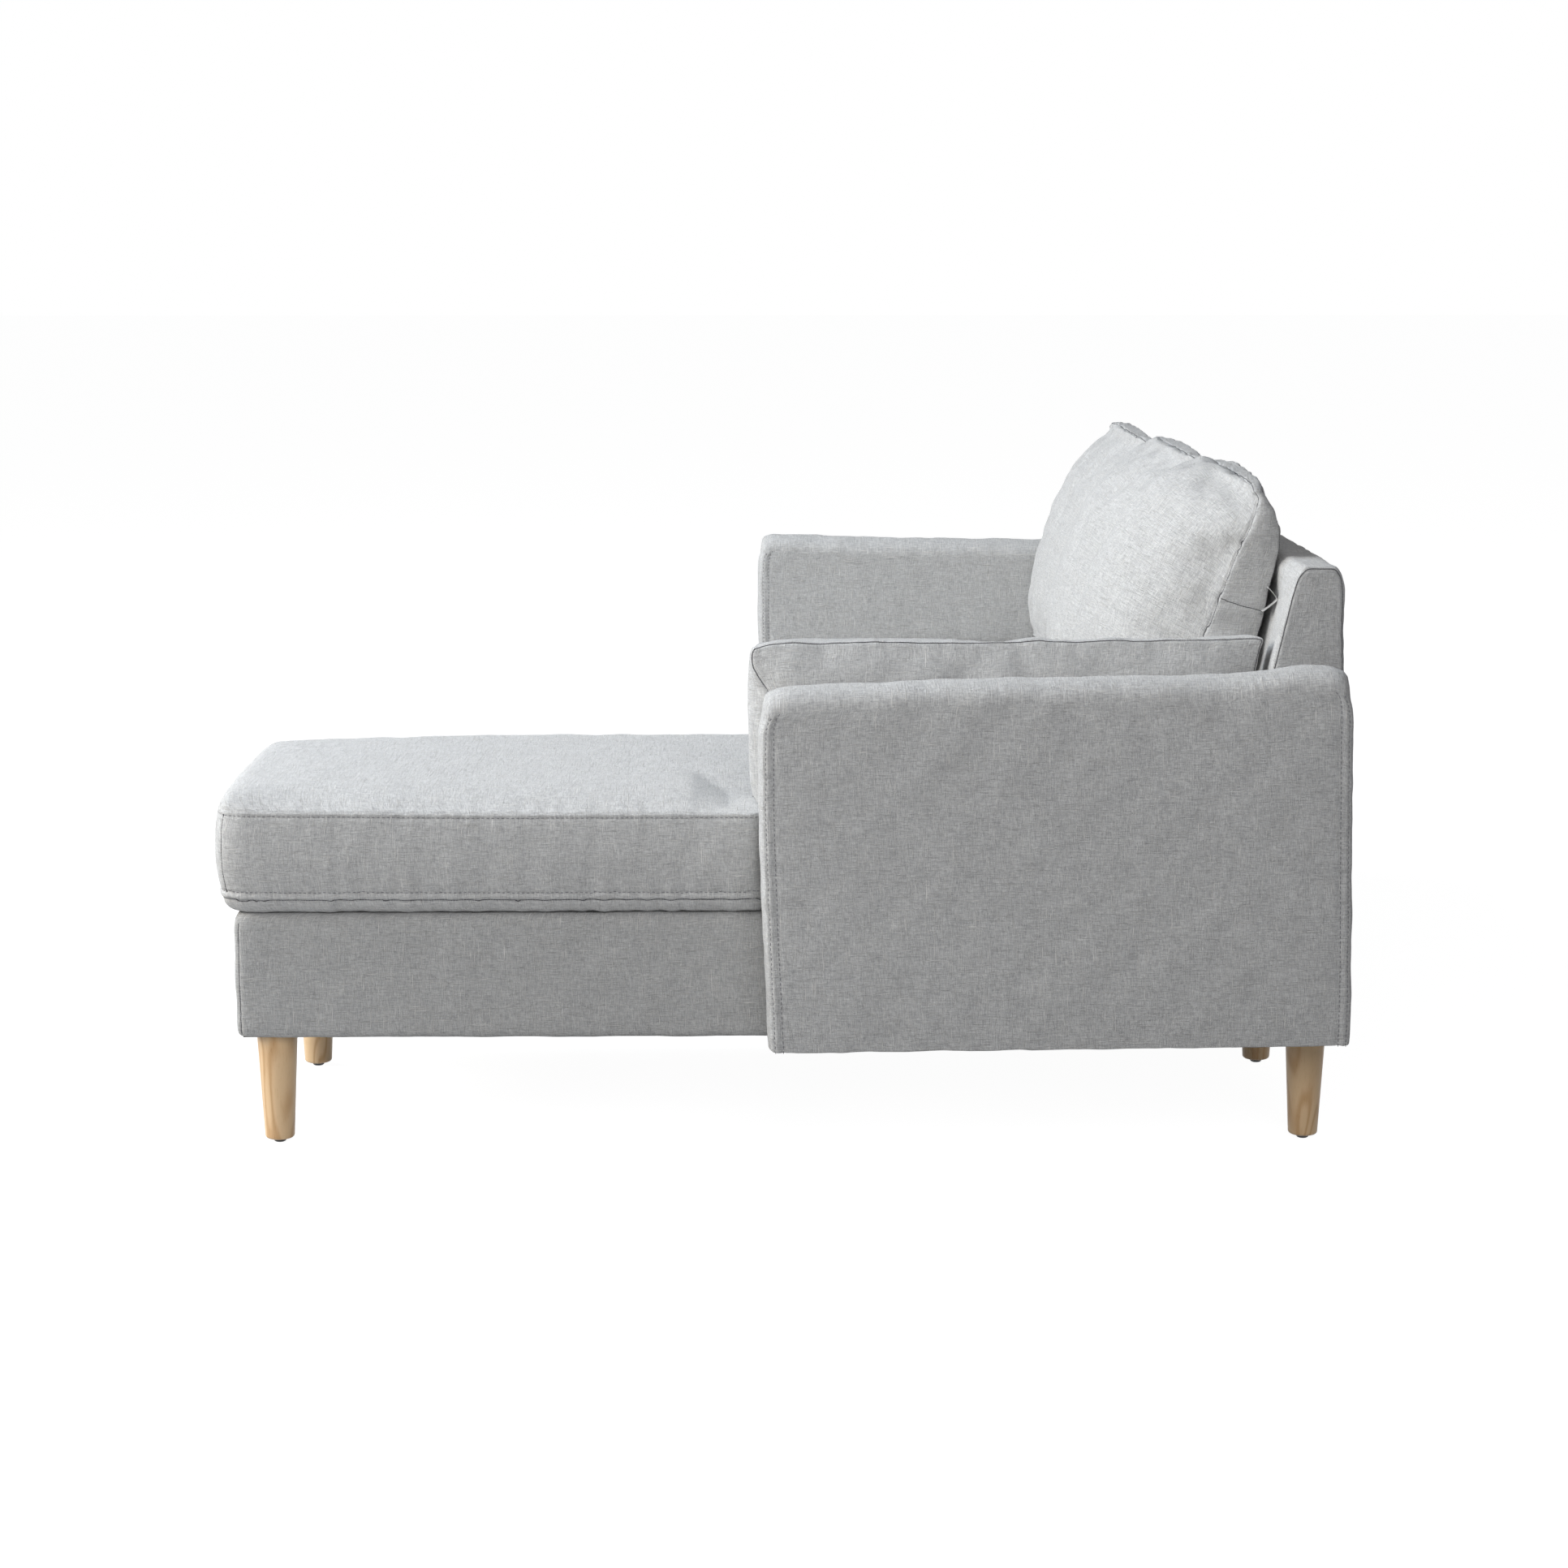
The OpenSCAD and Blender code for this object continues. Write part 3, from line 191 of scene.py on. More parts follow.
cover_linen = linen("grey_linen_plain_weave", "#cfcfcd", "#9d9d9e", "#eae8e4")
# The base's copy of the same linen is darker: painted shade for the shadow under the cushions
base_linen_painted_shade = linen("grey_linen_plain_weave_base_painted_shade", "#c1c1bf", "#919192", "#e0deda")
print("linens", cover_linen.name, base_linen_painted_shade.name)

# %% [markdown]
# ## Wood, metal, plastic and the hidden cloths
# The legs are turned from a pale hardwood with a clear satin lacquer. Their bold arches of grain are cuts through
# the tree's growth rings: a noise that is stretched along the leg has long closed contour lines, and a sine of it
# draws them one inside the other. The inner parts show only when the sofa is opened, but get real finishes too.

# %% Make wood
PORE, PORE_LENGTH = 0.0009, 0.022


def wood(name, pale, dark, rings, ring_size, along, gloss):
    """Growth rings as contour lines of a stretched noise, with short dark pores on top."""
    material, tree = new_material(name)
    place = add(tree, "ShaderNodeTexCoord").outputs["Object"]

    def stretched(across, length):
        factors = (1 / across, 1 / across, 1 / length)
        return add(tree, "ShaderNodeVectorMath", {0: place, 1: factors}, operation="MULTIPLY").outputs[0]

    swell = noise(tree, Vector=stretched(ring_size, along), Detail=1.0, Roughness=0.35, Distortion=0.25)
    ring = stretch(tree, maths(tree, "SINE", maths(tree, "MULTIPLY", swell, rings * 2 * math.pi)), -1.0, 1.0)
    # Late wood is a thin dark line at the end of each year's ring
    late = maths(tree, "POWER", ring, 3.0)
    fibre = noise(tree, Vector=stretched(PORE, PORE_LENGTH), Detail=2.0)
    pore = stretch(tree, fibre, 0.60, 0.72)
    tone = maths(tree, "MULTIPLY_ADD", pore, 0.30, maths(tree, "MULTIPLY", late, 0.62))
    rough = stretch(tree, fibre, 0.0, 1.0, gloss - 0.05, gloss + 0.1)
    finish_surface(tree, blend(tree, tone, linear(pale), linear(dark)), rough, fibre, 0.25, 0.0002, {"IOR": 1.5})
    return material


leg_wood = wood("leg_beech_clear_satin_lacquer", "#e2c196", "#b98a56", 7.0, 0.040, 0.19, 0.38)
frame_timber = wood("frame_sawn_softwood", "#dcc39a", "#b58f5c", 6.0, 0.07, 0.9, 0.7)
print("woods", leg_wood.name, frame_timber.name)

# %% Make metal, plastic and hidden cloths
def grained(name, pale, dark, grain, depth, rough, metallic=0.0, weave=None):
    """A finish with a fine random grain, or with crossing threads where a weave pitch is given."""
    material, tree = new_material(name)
    place = add(tree, "ShaderNodeTexCoord").outputs["Object"]
    relief = noise(tree, 1 / grain, Vector=place, Detail=3.0)
    if weave:
        split = add(tree, "ShaderNodeSeparateXYZ", {"Vector": place}).outputs
        waves = [maths(tree, "SINE", maths(tree, "MULTIPLY", split[axis], 2 * math.pi / weave)) for axis in "XY"]
        relief = maths(tree, "MULTIPLY_ADD", maths(tree, "MULTIPLY", *waves), 0.3, relief)
    colour = blend(tree, stretch(tree, relief, 0.3, 0.7), linear(dark), linear(pale))
    uneven = stretch(tree, relief, 0.0, 1.0, rough - 0.08, rough + 0.08)
    finish_surface(tree, colour, uneven, relief, 0.5, depth, {"Metallic": metallic})
    return material


# Spangled zinc: small patches that differ a little in shine
zinc_steel = grained("zinc_plated_steel", "#b9bcc0", "#94989d", 0.004, 0.00003, 0.36, metallic=1.0)
# Moulded polypropylene: a fine spark-eroded grain takes the shine down
glide_plastic = grained("glide_polypropylene_moulded", "#222222", "#121212", 0.0008, 0.00005, 0.45)
# Rubber and polyester strap, thick threads across and along
elastic_webbing = grained("webbing_elastic_woven", "#cfc7b6", "#a79e8a", 0.003, 0.0003, 0.85, weave=0.003)
# Spun-bonded cloth: random fibres pressed flat
dust_cloth = grained("dust_cloth_spun_bonded", "#1f1f21", "#0e0e10", 0.0015, 0.0002, 0.9, weave=0.002)
# Twisted thread, a shade darker than the cloth, so that the rows of stitches can be seen
stitch_thread = grained("stitch_thread_polyester_twisted", "#8b8b8e", "#68686b", 0.0006, 0.0001, 0.7)
# A dark thread laid deep in a joining seam is painted shade: it draws the thin dark line of the narrow crease where
# two panels meet
seam_shade_thread = grained("seam_thread_painted_shade", "#56565a", "#3c3c40", 0.0006, 0.0001, 0.9)

FINISHES = [(("_leg_front", "_leg_back"), leg_wood), (("_glides",), glide_plastic),
            (("_bolts", "connector"), zinc_steel), (("_webbing",), elastic_webbing), (("_dust_cover",), dust_cloth),
            (("_rails", "_posts", "_slats", "_leg_boards"), frame_timber)]
for node_name, node_object in nodes.items():
    finish = next((material for parts, material in FINISHES if any(part in node_name for part in parts)), cover_linen)
    for material_slot in node_object.material_slots:
        material_slot.material = finish
print("finishes on", len(nodes), "CAD nodes")

# %% [markdown]
# ## How a cover is built
# Each cover is two sewn faces with a band between them, on one regular grid. So the weave's UV map is simply the
# cut pattern, each seam is a known row of points, and the rows lie closer together beside the seams, where the
# cloth turns sharply. Lengths in the forms are in millimetres, as in a cutting list, and become metres at the end.

# %% The cover grid
MM = 0.001
# Where the high face and the band are cut from the cloth, in millimetres from the low face
HIGH_FACE_CUT, BAND_CUT = 3000.0, 7000.0


def mix(a, b, t):
    return a + (b - a) * t


def clamp01(t):
    return np.clip(t, 0.0, 1.0)


def ramp(p, a, b):
    """1 at a, 0 at b."""
    return clamp01((b - p) / (b - a))


def bell(p):
    return np.exp(-p ** 2)


def shoulder(distance, reach):
    """How high a filling stands at a distance from the seam: steep at first, then flat."""
    return 1 - (1 - clamp01(distance / reach)) ** 2.5


def corner(t, radius, half):
    """How far an edge draws back beside a rounded corner."""
    return 0.29 * radius * np.abs(t) ** (3 * half / radius)


def norms(vectors):
    return np.linalg.norm(vectors, axis=-1)


def rim(t):
    """1 or -1 at the two ends of a side, 0 between them."""
    return np.sign(t) * (np.abs(t) > 0.9999)


def lengths(steps):
    """Where each point of a line lies along it, from the steps between them."""
    return np.concatenate([[0], np.cumsum(steps)])


def stations(half, step, edge):
    """Positions from -1 to 1 along one side, close together beside the seams."""
    inner = half - edge[-1]
    middle = np.linspace(0, inner, max(2, round(inner / step)) + 1)
    right = np.concatenate([middle, half - np.array(edge[-2::-1]), [half]])
    return np.concatenate([-right[:0:-1], right]) / half


class Cover:
    """A low face, a band of rows and a high face. place(u, v, row) gives points in millimetres."""

    def __init__(self, size, step, rows, place, open_low=False, edge=(3.0, 6.5, 11.0, 18.0)):
        self.us, self.vs = stations(size[0], step, edge), stations(size[1], step, edge)
        nu, nv = len(self.us), len(self.vs)
        self.low = np.arange(nu * nv).reshape(nu, nv)
        self.high = self.low + nu * nv
        g = self.low
        outline = np.concatenate([g[:, 0], g[-1, 1:], g[-2::-1, -1], g[0, -2:0:-1]])
        u, v = (a.ravel() for a in np.meshgrid(self.us, self.vs, indexing="ij"))
        band = [place(u[outline], v[outline], row) for row in rows[1:-1]]
        self.points = np.concatenate([place(u, v, rows[0]), place(u, v, rows[-1])] + band)
        count = len(outline)
        between = [2 * nu * nv + k * count + np.arange(count) for k in range(len(band))]
        self.rings = [outline] + between + [outline + nu * nv]
        self.quads, self.uvs = [], []
        for face, way in ((self.low, 1), (self.high, -1)):
            if way == 1 and open_low:
                continue
            corners = [face[:-1, :-1], face[:-1, 1:], face[1:, 1:], face[1:, :-1]]
            quad = np.stack(corners, axis=-1).reshape(-1, 4)[:, ::way]
            self.quads.append(quad)
            self.uvs.append(self.cut(face)[quad % (nu * nv)] + (0 if way == 1 else HIGH_FACE_CUT))
        mid = self.points[self.rings[len(self.rings) // 2]]
        along = lengths(norms(np.diff(np.concatenate([mid, mid[:1]]), axis=0)))
        height = BAND_CUT
        for below, above in zip(self.rings[:-1], self.rings[1:]):
            rise = norms(self.points[above] - self.points[below]).mean()
            self.quads.append(np.stack([below, np.roll(below, -1), np.roll(above, -1), above], axis=1))
            foot, head = (np.stack([along, np.full(len(along), h)], axis=1) for h in (height, height + rise))
            self.uvs.append(np.stack([foot[:-1], foot[1:], head[1:], head[:-1]], axis=1))
            height += rise
        self.quads, self.uvs = np.concatenate(self.quads), np.concatenate(self.uvs)
        if self.volume() < 0:
            self.quads, self.uvs = self.quads[:, ::-1], self.uvs[:, ::-1]
        pairs = np.concatenate([self.quads[:, [i, (i + 1) % 4]] for i in range(4)])
        self.edges = np.unique(np.sort(pairs, axis=1), axis=0)

    def cut(self, face):
        """The face laid flat: how far each point lies along both threads."""
        p = self.points[face]
        across = lengths(norms(np.diff(p, axis=0)).mean(axis=1))
        down = lengths(norms(np.diff(p, axis=1)).mean(axis=0))
        return np.stack(np.meshgrid(across, down, indexing="ij"), axis=-1).reshape(-1, 2)

    def volume(self):
        a, b, c, d = np.moveaxis(self.points[self.quads], 1, 0)
        return sum(np.einsum("ij,ij->i", a, np.cross(p, q)).sum() for p, q in ((b, c), (c, d))) / 6

    def spread(self, values, rounds):
        """Smooths values over the cover, like a thermometer warming its neighbours."""
        start, end = np.concatenate([self.edges, self.edges[:, ::-1]]).T
        count = np.maximum(np.bincount(start, minlength=len(values)), 1)
        for _ in range(rounds):
            total = [np.bincount(start, column[end], len(values)) for column in values.T]
            values = 0.5 * values + 0.5 * np.stack(total, axis=1) / count[:, None]
        return values


# %% [markdown]
# ## Stuffing
# A cover filled with foam and fibre is blown up from inside and held back by its seams. Blender's Cloth does just
# that: pressure pushes the cloth out, and a weighted shrink draws it in beside the seams. Its puckers and soft
# folds are used, but the overall form stays the measured one, because the cushions have to fit.

# %% Stuff a cover
PRESSURE, FRAMES = 4.0, 20


def make_object(name, points, quads, uvs):
    mesh = bpy.data.meshes.new(name)
    mesh.from_pydata((points * MM).tolist(), [], quads.tolist())
    mesh.uv_layers.new(name="weave").data.foreach_set("uv", (uvs.reshape(-1, 2) * MM).ravel())
    mesh.shade_smooth()
    return new_object(name, mesh)


def points_of(mesh, what="vertices", field="co"):
    data = getattr(mesh, what)
    values = np.empty(len(data) * 3)
    data.foreach_get(field, values)
    return values.reshape(-1, 3)


def evaluated_mesh(piece):
    depsgraph = bpy.context.evaluated_depsgraph_get()
    return bpy.data.meshes.new_from_object(piece.evaluated_get(depsgraph), depsgraph=depsgraph)


def blow_up(body, weights, gather):
    """Runs the Cloth on a cover and returns where its points end, in millimetres."""
    group = body.vertex_groups.new(name="gathered")
    for index in np.nonzero(weights > 0.02)[0]:
        group.add([int(index)], float(weights[index]), "REPLACE")
    cloth = body.modifiers.new("cloth", "CLOTH")
    settings = cloth.settings
    settings.quality, settings.mass = 5, 0.35
    settings.tension_stiffness = settings.compression_stiffness = 18
    settings.shear_stiffness, settings.bending_stiffness = 8, 0.5
    settings.use_pressure, settings.uniform_pressure_force = True, PRESSURE
    settings.vertex_group_shrink, settings.shrink_min, settings.shrink_max = "gathered", 0.0, gather
    settings.effector_weights.gravity = 0.0
    cloth.collision_settings.use_collision = False
    cloth.point_cache.frame_start, cloth.point_cache.frame_end = 1, FRAMES
    for frame_number in range(1, FRAMES + 1):
        bpy.context.scene.frame_set(frame_number)
    mesh = evaluated_mesh(body)
    points = points_of(mesh) / MM
    bpy.data.meshes.remove(mesh)
    bpy.data.objects.remove(body)
    bpy.context.scene.frame_set(1)
    return points


def stuff(name, cover, seam_ids, gather, cap, share, form_share=0.1):
    """Returns how far the stuffing moves each point, in millimetres.
    share: how much of its folds is kept. form_share: how much of its overall form is kept."""
    rng = np.random.default_rng(len(cover.points))
    uneven = cover.spread(rng.normal(size=cover.points.shape), 4) * 2.0
    body = make_object(name + "_stuffing", cover.points + uneven, cover.quads, cover.uvs)
    gathered = np.zeros((len(cover.points), 1))
    gathered[np.concatenate(seam_ids)] = 1.0
    moved = blow_up(body, clamp01(cover.spread(gathered, 3) * 2.2)[:, 0], gather) - cover.points
    slow = cover.spread(moved, 60)
    kept = share * cover.spread(moved - slow, 1) + form_share * slow
    # A fold can't be deeper than the cells that draw it are wide
    a, b = cover.edges.T
    steps = norms(cover.points[a] - cover.points[b])
    cells = sum(np.bincount(end, steps, len(kept)) for end in (a, b))
    cells /= np.maximum(sum(np.bincount(end, minlength=len(kept)) for end in (a, b)), 1)
    most = np.minimum(cap, 0.8 * cover.spread(cells[:, None], 4))
    length = norms(kept)[:, None]
    kept *= np.minimum(1, most / np.maximum(length, 1e-6))
    print(name, "stuffing moved up to", round(float(np.abs(moved).max()), 1), "mm")
    return kept


# %% [markdown]
# ## Sewing
# A seam pulls the cloth down into a narrow groove and gathers it into small puckers. Some seams also show thread:
# rows of short top-stitches. In the joint of two panels a dark thread is painted shade: it draws the thin dark line
# of the deep crease. All of them follow lines picked from the grid, so a groove, its puckers and its threads always
# agree.

# %% Sew, crease and finish a cover
SEAM_STEP, STRIP_HALF_WIDTH = 4.0, 3.4
WAVES = 24
stitch_lines = {}


def resample(line, step, closed=False):
    """Evenly spaced points along a line, and how far along it they lie."""
    if closed:
        line = np.concatenate([line, line[:1]])
    along = lengths(norms(np.diff(line, axis=0)))
    at = np.linspace(0, along[-1], max(2, int(along[-1] / step) + 1))
    return np.stack([np.interp(at, along, line[:, k]) for k in range(3)], axis=1), at


def random_waves(points, wavelength, seed):
    """A soft random height of about unit size: two dozen waves of nearly one length."""
    rng = np.random.default_rng(seed)
    points = points.reshape(len(points), -1)
    total = np.zeros(len(points))
    for _ in range(WAVES):
        way = rng.normal(size=points.shape[1])
        way /= norms(way)
        length = wavelength * rng.uniform(0.7, 1.5)
        total += np.cos(points @ way * 2 * math.pi / length + rng.uniform(0, 2 * math.pi))
    return total / math.sqrt(WAVES / 2)


def near_line(points, line, reach):
    """The points near a line: their indices, distances from it, and places along it."""
    dense, along = resample(line, 1.5)
    near = np.nonzero(np.all((points > dense.min(0) - reach) & (points < dense.max(0) + reach), axis=1))[0]
    tree = KDTree(len(dense))
    for i, p in enumerate(dense):
        tree.insert(p, i)
    tree.balance()
    found = [tree.find(p) for p in points[near]]
    distance = np.array([f[2] for f in found])
    place = along[np.array([f[1] for f in found], dtype=int)]
    keep = distance < reach
    return near[keep], distance[keep], place[keep]


@dataclass
class Seam:
    """path: grid points along it, or places. Its groove has a depth and a width, a raised strip has a ridge.
    kind: stitches for rows of top-stitching; a joint's kind is a dark thread that is painted shade, the thin dark
    line where two panels meet."""
    path: np.ndarray
    closed: bool = True
    depth: float = 1.4
    width: float = 2.6
    ridge: float = 0.0
    pucker: float = 0.0
    reach: float = 22.0
    wave: float = 20.0
    kind: str = None

    def relief(self, points, line, number):
        """The points near the seam, and how far its groove, strip and puckers raise them."""
        near, distance, along = near_line(points, line, max(self.reach * 2.2 if self.pucker else 0, 12))
        groove = self.ridge * np.exp(-(distance / STRIP_HALF_WIDTH) ** 4) - self.depth * bell(distance / self.width)
        waves = random_waves(along, self.wave, number + 31)
        return near, groove + self.pucker * waves * np.exp(-distance / self.reach) * clamp01(distance / 5)


def joint(path, **form):
    # A joint also gets the dark thread that is painted shade in its crease
    return Seam(path, kind="joints", **form)


def stitched(path, **form):
    return Seam(path, kind="stitches", **form)


def crease(points, start, end, width, depth):
    """A fold line that fades at both ends, with a soft roll on either side."""
    start, end = np.array(start, float), np.array(end, float)
    way = end - start
    t = clamp01((points - start) @ way / (way @ way))
    d = norms(points - (start + t[:, None] * way)) / width
    fade = np.sin(math.pi * np.clip(t, 0.02, 0.98)) ** 0.7
    return depth * fade * (0.4 * bell(d - 1.9) - bell(d))


def hold(points, axis, low=-np.inf, high=np.inf):
    """Keeps points between two places along one axis: clear of a neighbour, or above what carries them."""
    points[:, axis] = np.clip(points[:, axis], low, high)


def surface_of(mesh, points):
    return BVHTree.FromPolygons(points.tolist(), [tuple(p.vertices) for p in mesh.polygons])


def dress(name, cover, body, replaced, seams, uneven, material=cover_linen, moved=0.0, creases=(), limits=None,
          wall=0.0):
    """Turns a cover grid into a finished piece: subdivided, sewn, creased and kept clear of its neighbours."""
    base = cover.points + moved
    rough_piece = make_object(name + "_grid", base, cover.quads, cover.uvs)
    smooth = rough_piece.modifiers.new("smooth", "SUBSURF")
    smooth.levels = smooth.render_levels = 1
    mesh = evaluated_mesh(rough_piece)
    bpy.data.objects.remove(rough_piece)
    points, normals = points_of(mesh) / MM, points_of(mesh, "vertex_normals", "vector")
    skin = surface_of(mesh, points)
    # The filling is never quite even: broad waves, and a quarter as high ones of a finger's width
    rise = uneven * (random_waves(points, 60, len(points)) + 0.25 * random_waves(points, 23, 7))
    lines = []
    for number, seam in enumerate(seams):
        path = seam.path if seam.path.ndim == 2 else base[seam.path]
        line = np.array([skin.find_nearest(Vector(p))[0] for p in resample(path, SEAM_STEP, seam.closed)[0]])
        lines.append(line)
        near, height = seam.relief(points, line, number)
        rise[near] += height
    for fold in creases:
        rise += crease(points, *fold)
    points = points + normals * rise[:, None]
    if limits:
        limits(points)
    mesh.vertices.foreach_set("co", (points * MM).ravel())
    mesh.update()
    mesh.name = name
    mesh.materials.clear()
    mesh.materials.append(material)
    mesh.shade_smooth()
    piece = new_object(name, mesh)
    if wall:
        thick = piece.modifiers.new("wall", "SOLIDIFY")
        thick.thickness, thick.offset = wall * MM, -1.0
        walled = evaluated_mesh(piece)
        piece.modifiers.clear()
        piece.data = walled
    skin = surface_of(mesh, points)
    for seam, line in zip(seams, lines):
        if seam.kind:
            hits = [skin.find_nearest(Vector(p)) for p in line]
            sewn = np.array([h[0] for h in hits]), np.array([h[1] for h in hits])
            stitch_lines.setdefault((body, seam.kind), []).append(sewn)
    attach(piece, body)
    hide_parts(*replaced)
    size = points.max(0) - points.min(0)
    print(name, "size", [round(float(s)) for s in size], "mm,", len(piece.data.polygons), "faces")


# %% [markdown]
# ## The base
# Each section stands on a low box in the same linen, drawn tight over padded timber; its copy of the linen is
# painted darker, as painted shade under the cushions. The cover turns under the lower edge as a narrow hem, and
# the black dust cloth fills the rest. So this cover is open below: its band starts at the hem and ends in the deck
# that the cushions lie on.

# %% Base covers
# Heights of the base's underside and deck, a seat cushion's foot and top seam, and a back cushion's foot
UNDER_Z, DECK_Z, SEAT_Z, SEAM_Z, PILLOW_Z = 156.0, 326.0, 326.3, 464.3, 464.6
# The arms' inner faces, the backs' rear, and the ends of the two sections where they meet
ARM_X, REAR_Y, CHAISE_X, TWO_SEAT_X = 910.0, 738.0, 303.75, 302.25
CHAISE_BASE, TWO_SEAT_BASE = (309.0, ARM_X, -736.0, REAR_Y), (-ARM_X, 297.0, -14.0, REAR_Y)
# Height and inset of each row: under the hem, round the lower edge, up the side, over the upper edge
BASE_ROWS = [(155.9, 16.0), (155.6, 12.0), (155.8, 7.0), (157.2, 3.6), (159.5, 1.6), (163.0, 0.4), (169.0, 0.0)]
BASE_ROWS += [(z, 0.0) for z in np.linspace(185, 300, 9)]
BASE_ROWS += [(312.0, 0.2), (319.0, 1.6), (323.6, 4.4), (325.9, 9.0), (DECK_Z, 16.0)]


def base_cover(section, box):
    x0, x1, y0, y1 = box
    a, b, cx, cy = (x1 - x0) / 2, (y1 - y0) / 2, (x0 + x1) / 2, (y0 + y1) / 2

    def place(u, v, row):
        z, inset = row
        x = cx + u * (a - inset - corner(v, 16, b))
        y = cy + v * (b - inset - corner(u, 16, a))
        return np.stack([x, y, np.full_like(x, z)], axis=1)

    cover = Cover((a, b), 22.0, BASE_ROWS, place, open_low=True)
    side = cover.points[cover.rings[5]][:, :2]
    seams = []
    for sx in (-1, 1):
        for sy in (-1, 1):
            # The upright seam lies just round the corner, on the long side
            at = np.argmin(norms(side - [cx + sx * a, cy + sy * (b - 6.5)]))
            ids = np.array([ring[at] for ring in cover.rings[5:-4]])
            seams.append(joint(ids, closed=False, depth=1.0, width=1.8, pucker=0.25))
    dress(section + "_base", cover, section + "_section", (section + "_base_cover", section + "_deck_pad"), seams,
          uneven=0.3, material=base_linen_painted_shade, wall=1.2)


base_cover("chaise", CHAISE_BASE)
base_cover("two_seat", TWO_SEAT_BASE)

# %% [markdown]
# ## The backrest
# Behind the loose cushions stands a plain upholstered back. Its front leans back, its rear is upright, and the
# end panel is sewn in with one thin seam that follows the panel's outline.

# %% Back covers
BACK_TOP, BACK_LEAN = 790.0, math.radians(11.8)


def back_front_y(z):
    """Front of the backrest, which leans back."""
    return 674.0 - (783.0 - z) * math.tan(BACK_LEAN)


def turned_edge(reach, inset, steps=6):
    """Stations over a rounded edge: how far along, and how far in from the side."""
    return [(reach * (1 - math.cos(t)), inset * (1 - math.sin(t))) for t in np.linspace(0, math.pi / 2, steps)]


def back_cover(section, x0, x1):
    half_y, half_z = 60.0, (BACK_TOP - DECK_Z) / 2
    turn = turned_edge(14, 3.5)
    rows = [(x0 + d, inset) for d, inset in turn]
    rows += [(x, 0.0) for x in np.linspace(x0 + 24, x1 - 24, round((x1 - x0) / 13))]
    rows += [(x1 - d, inset) for d, inset in turn[::-1]]

    def place(u, v, row):
        x, inset = row
        t = (v + 1) / 2
        z = mix(DECK_Z, BACK_TOP - inset, t) - corner(u, 20, half_y) * clamp01(v)
        front, rear = back_front_y(z) + inset, REAR_Y + 4 * clamp01((783 - z) / 130) - inset
        y = mix(front, rear, (u + 1) / 2) - u * corner(clamp01(v), 20, half_z)
        # The padding makes the front a little fuller half-way up
        y = y - 3.0 * clamp01(-u) * np.sin(math.pi * t)
        # Where a cushion leans on it, it is pressed in below its top edge
        y = y + 9.0 * clamp01(-u) * ramp(np.abs(x), 800, 885) * ramp(z, 735, 778)
        return np.stack([np.full_like(y, x), y, z], axis=1)

    cover = Cover((half_y, half_z), 14.0, rows, place)
    seams = []
    for ids in (cover.rings[0], cover.rings[-1]):
        # The seam leaves out the panel's foot, which stands on the deck
        on_deck = cover.points[ids][:, 2] < DECK_Z + 1
        ids = np.roll(ids, -np.argmax(on_deck))
        ids = ids[cover.points[ids][:, 2] > DECK_Z + 1]
        seams.append(joint(ids, closed=False, depth=1.6, width=2.2, pucker=0.35, wave=26, reach=18))
    dress(section + "_backrest", cover, section + "_section", (section + "_back_cover",), seams, uneven=0.6)


back_cover("chaise", CHAISE_X, ARM_X)
back_cover("two_seat", -ARM_X, TWO_SEAT_X)

# %% [markdown]
# ## The arms
# An arm is a padded panel as wide as a hand. Its cover has an inner and an outer face, and a band that rolls over
# the front, the top and the rear. Both faces are lapped on, with two rows of stitches along the front and the rear.

# %% Arm covers
ARM_WIDTH, ARM_TOP, ARM_REAR_Y = 86.0, 608.0, 742.0


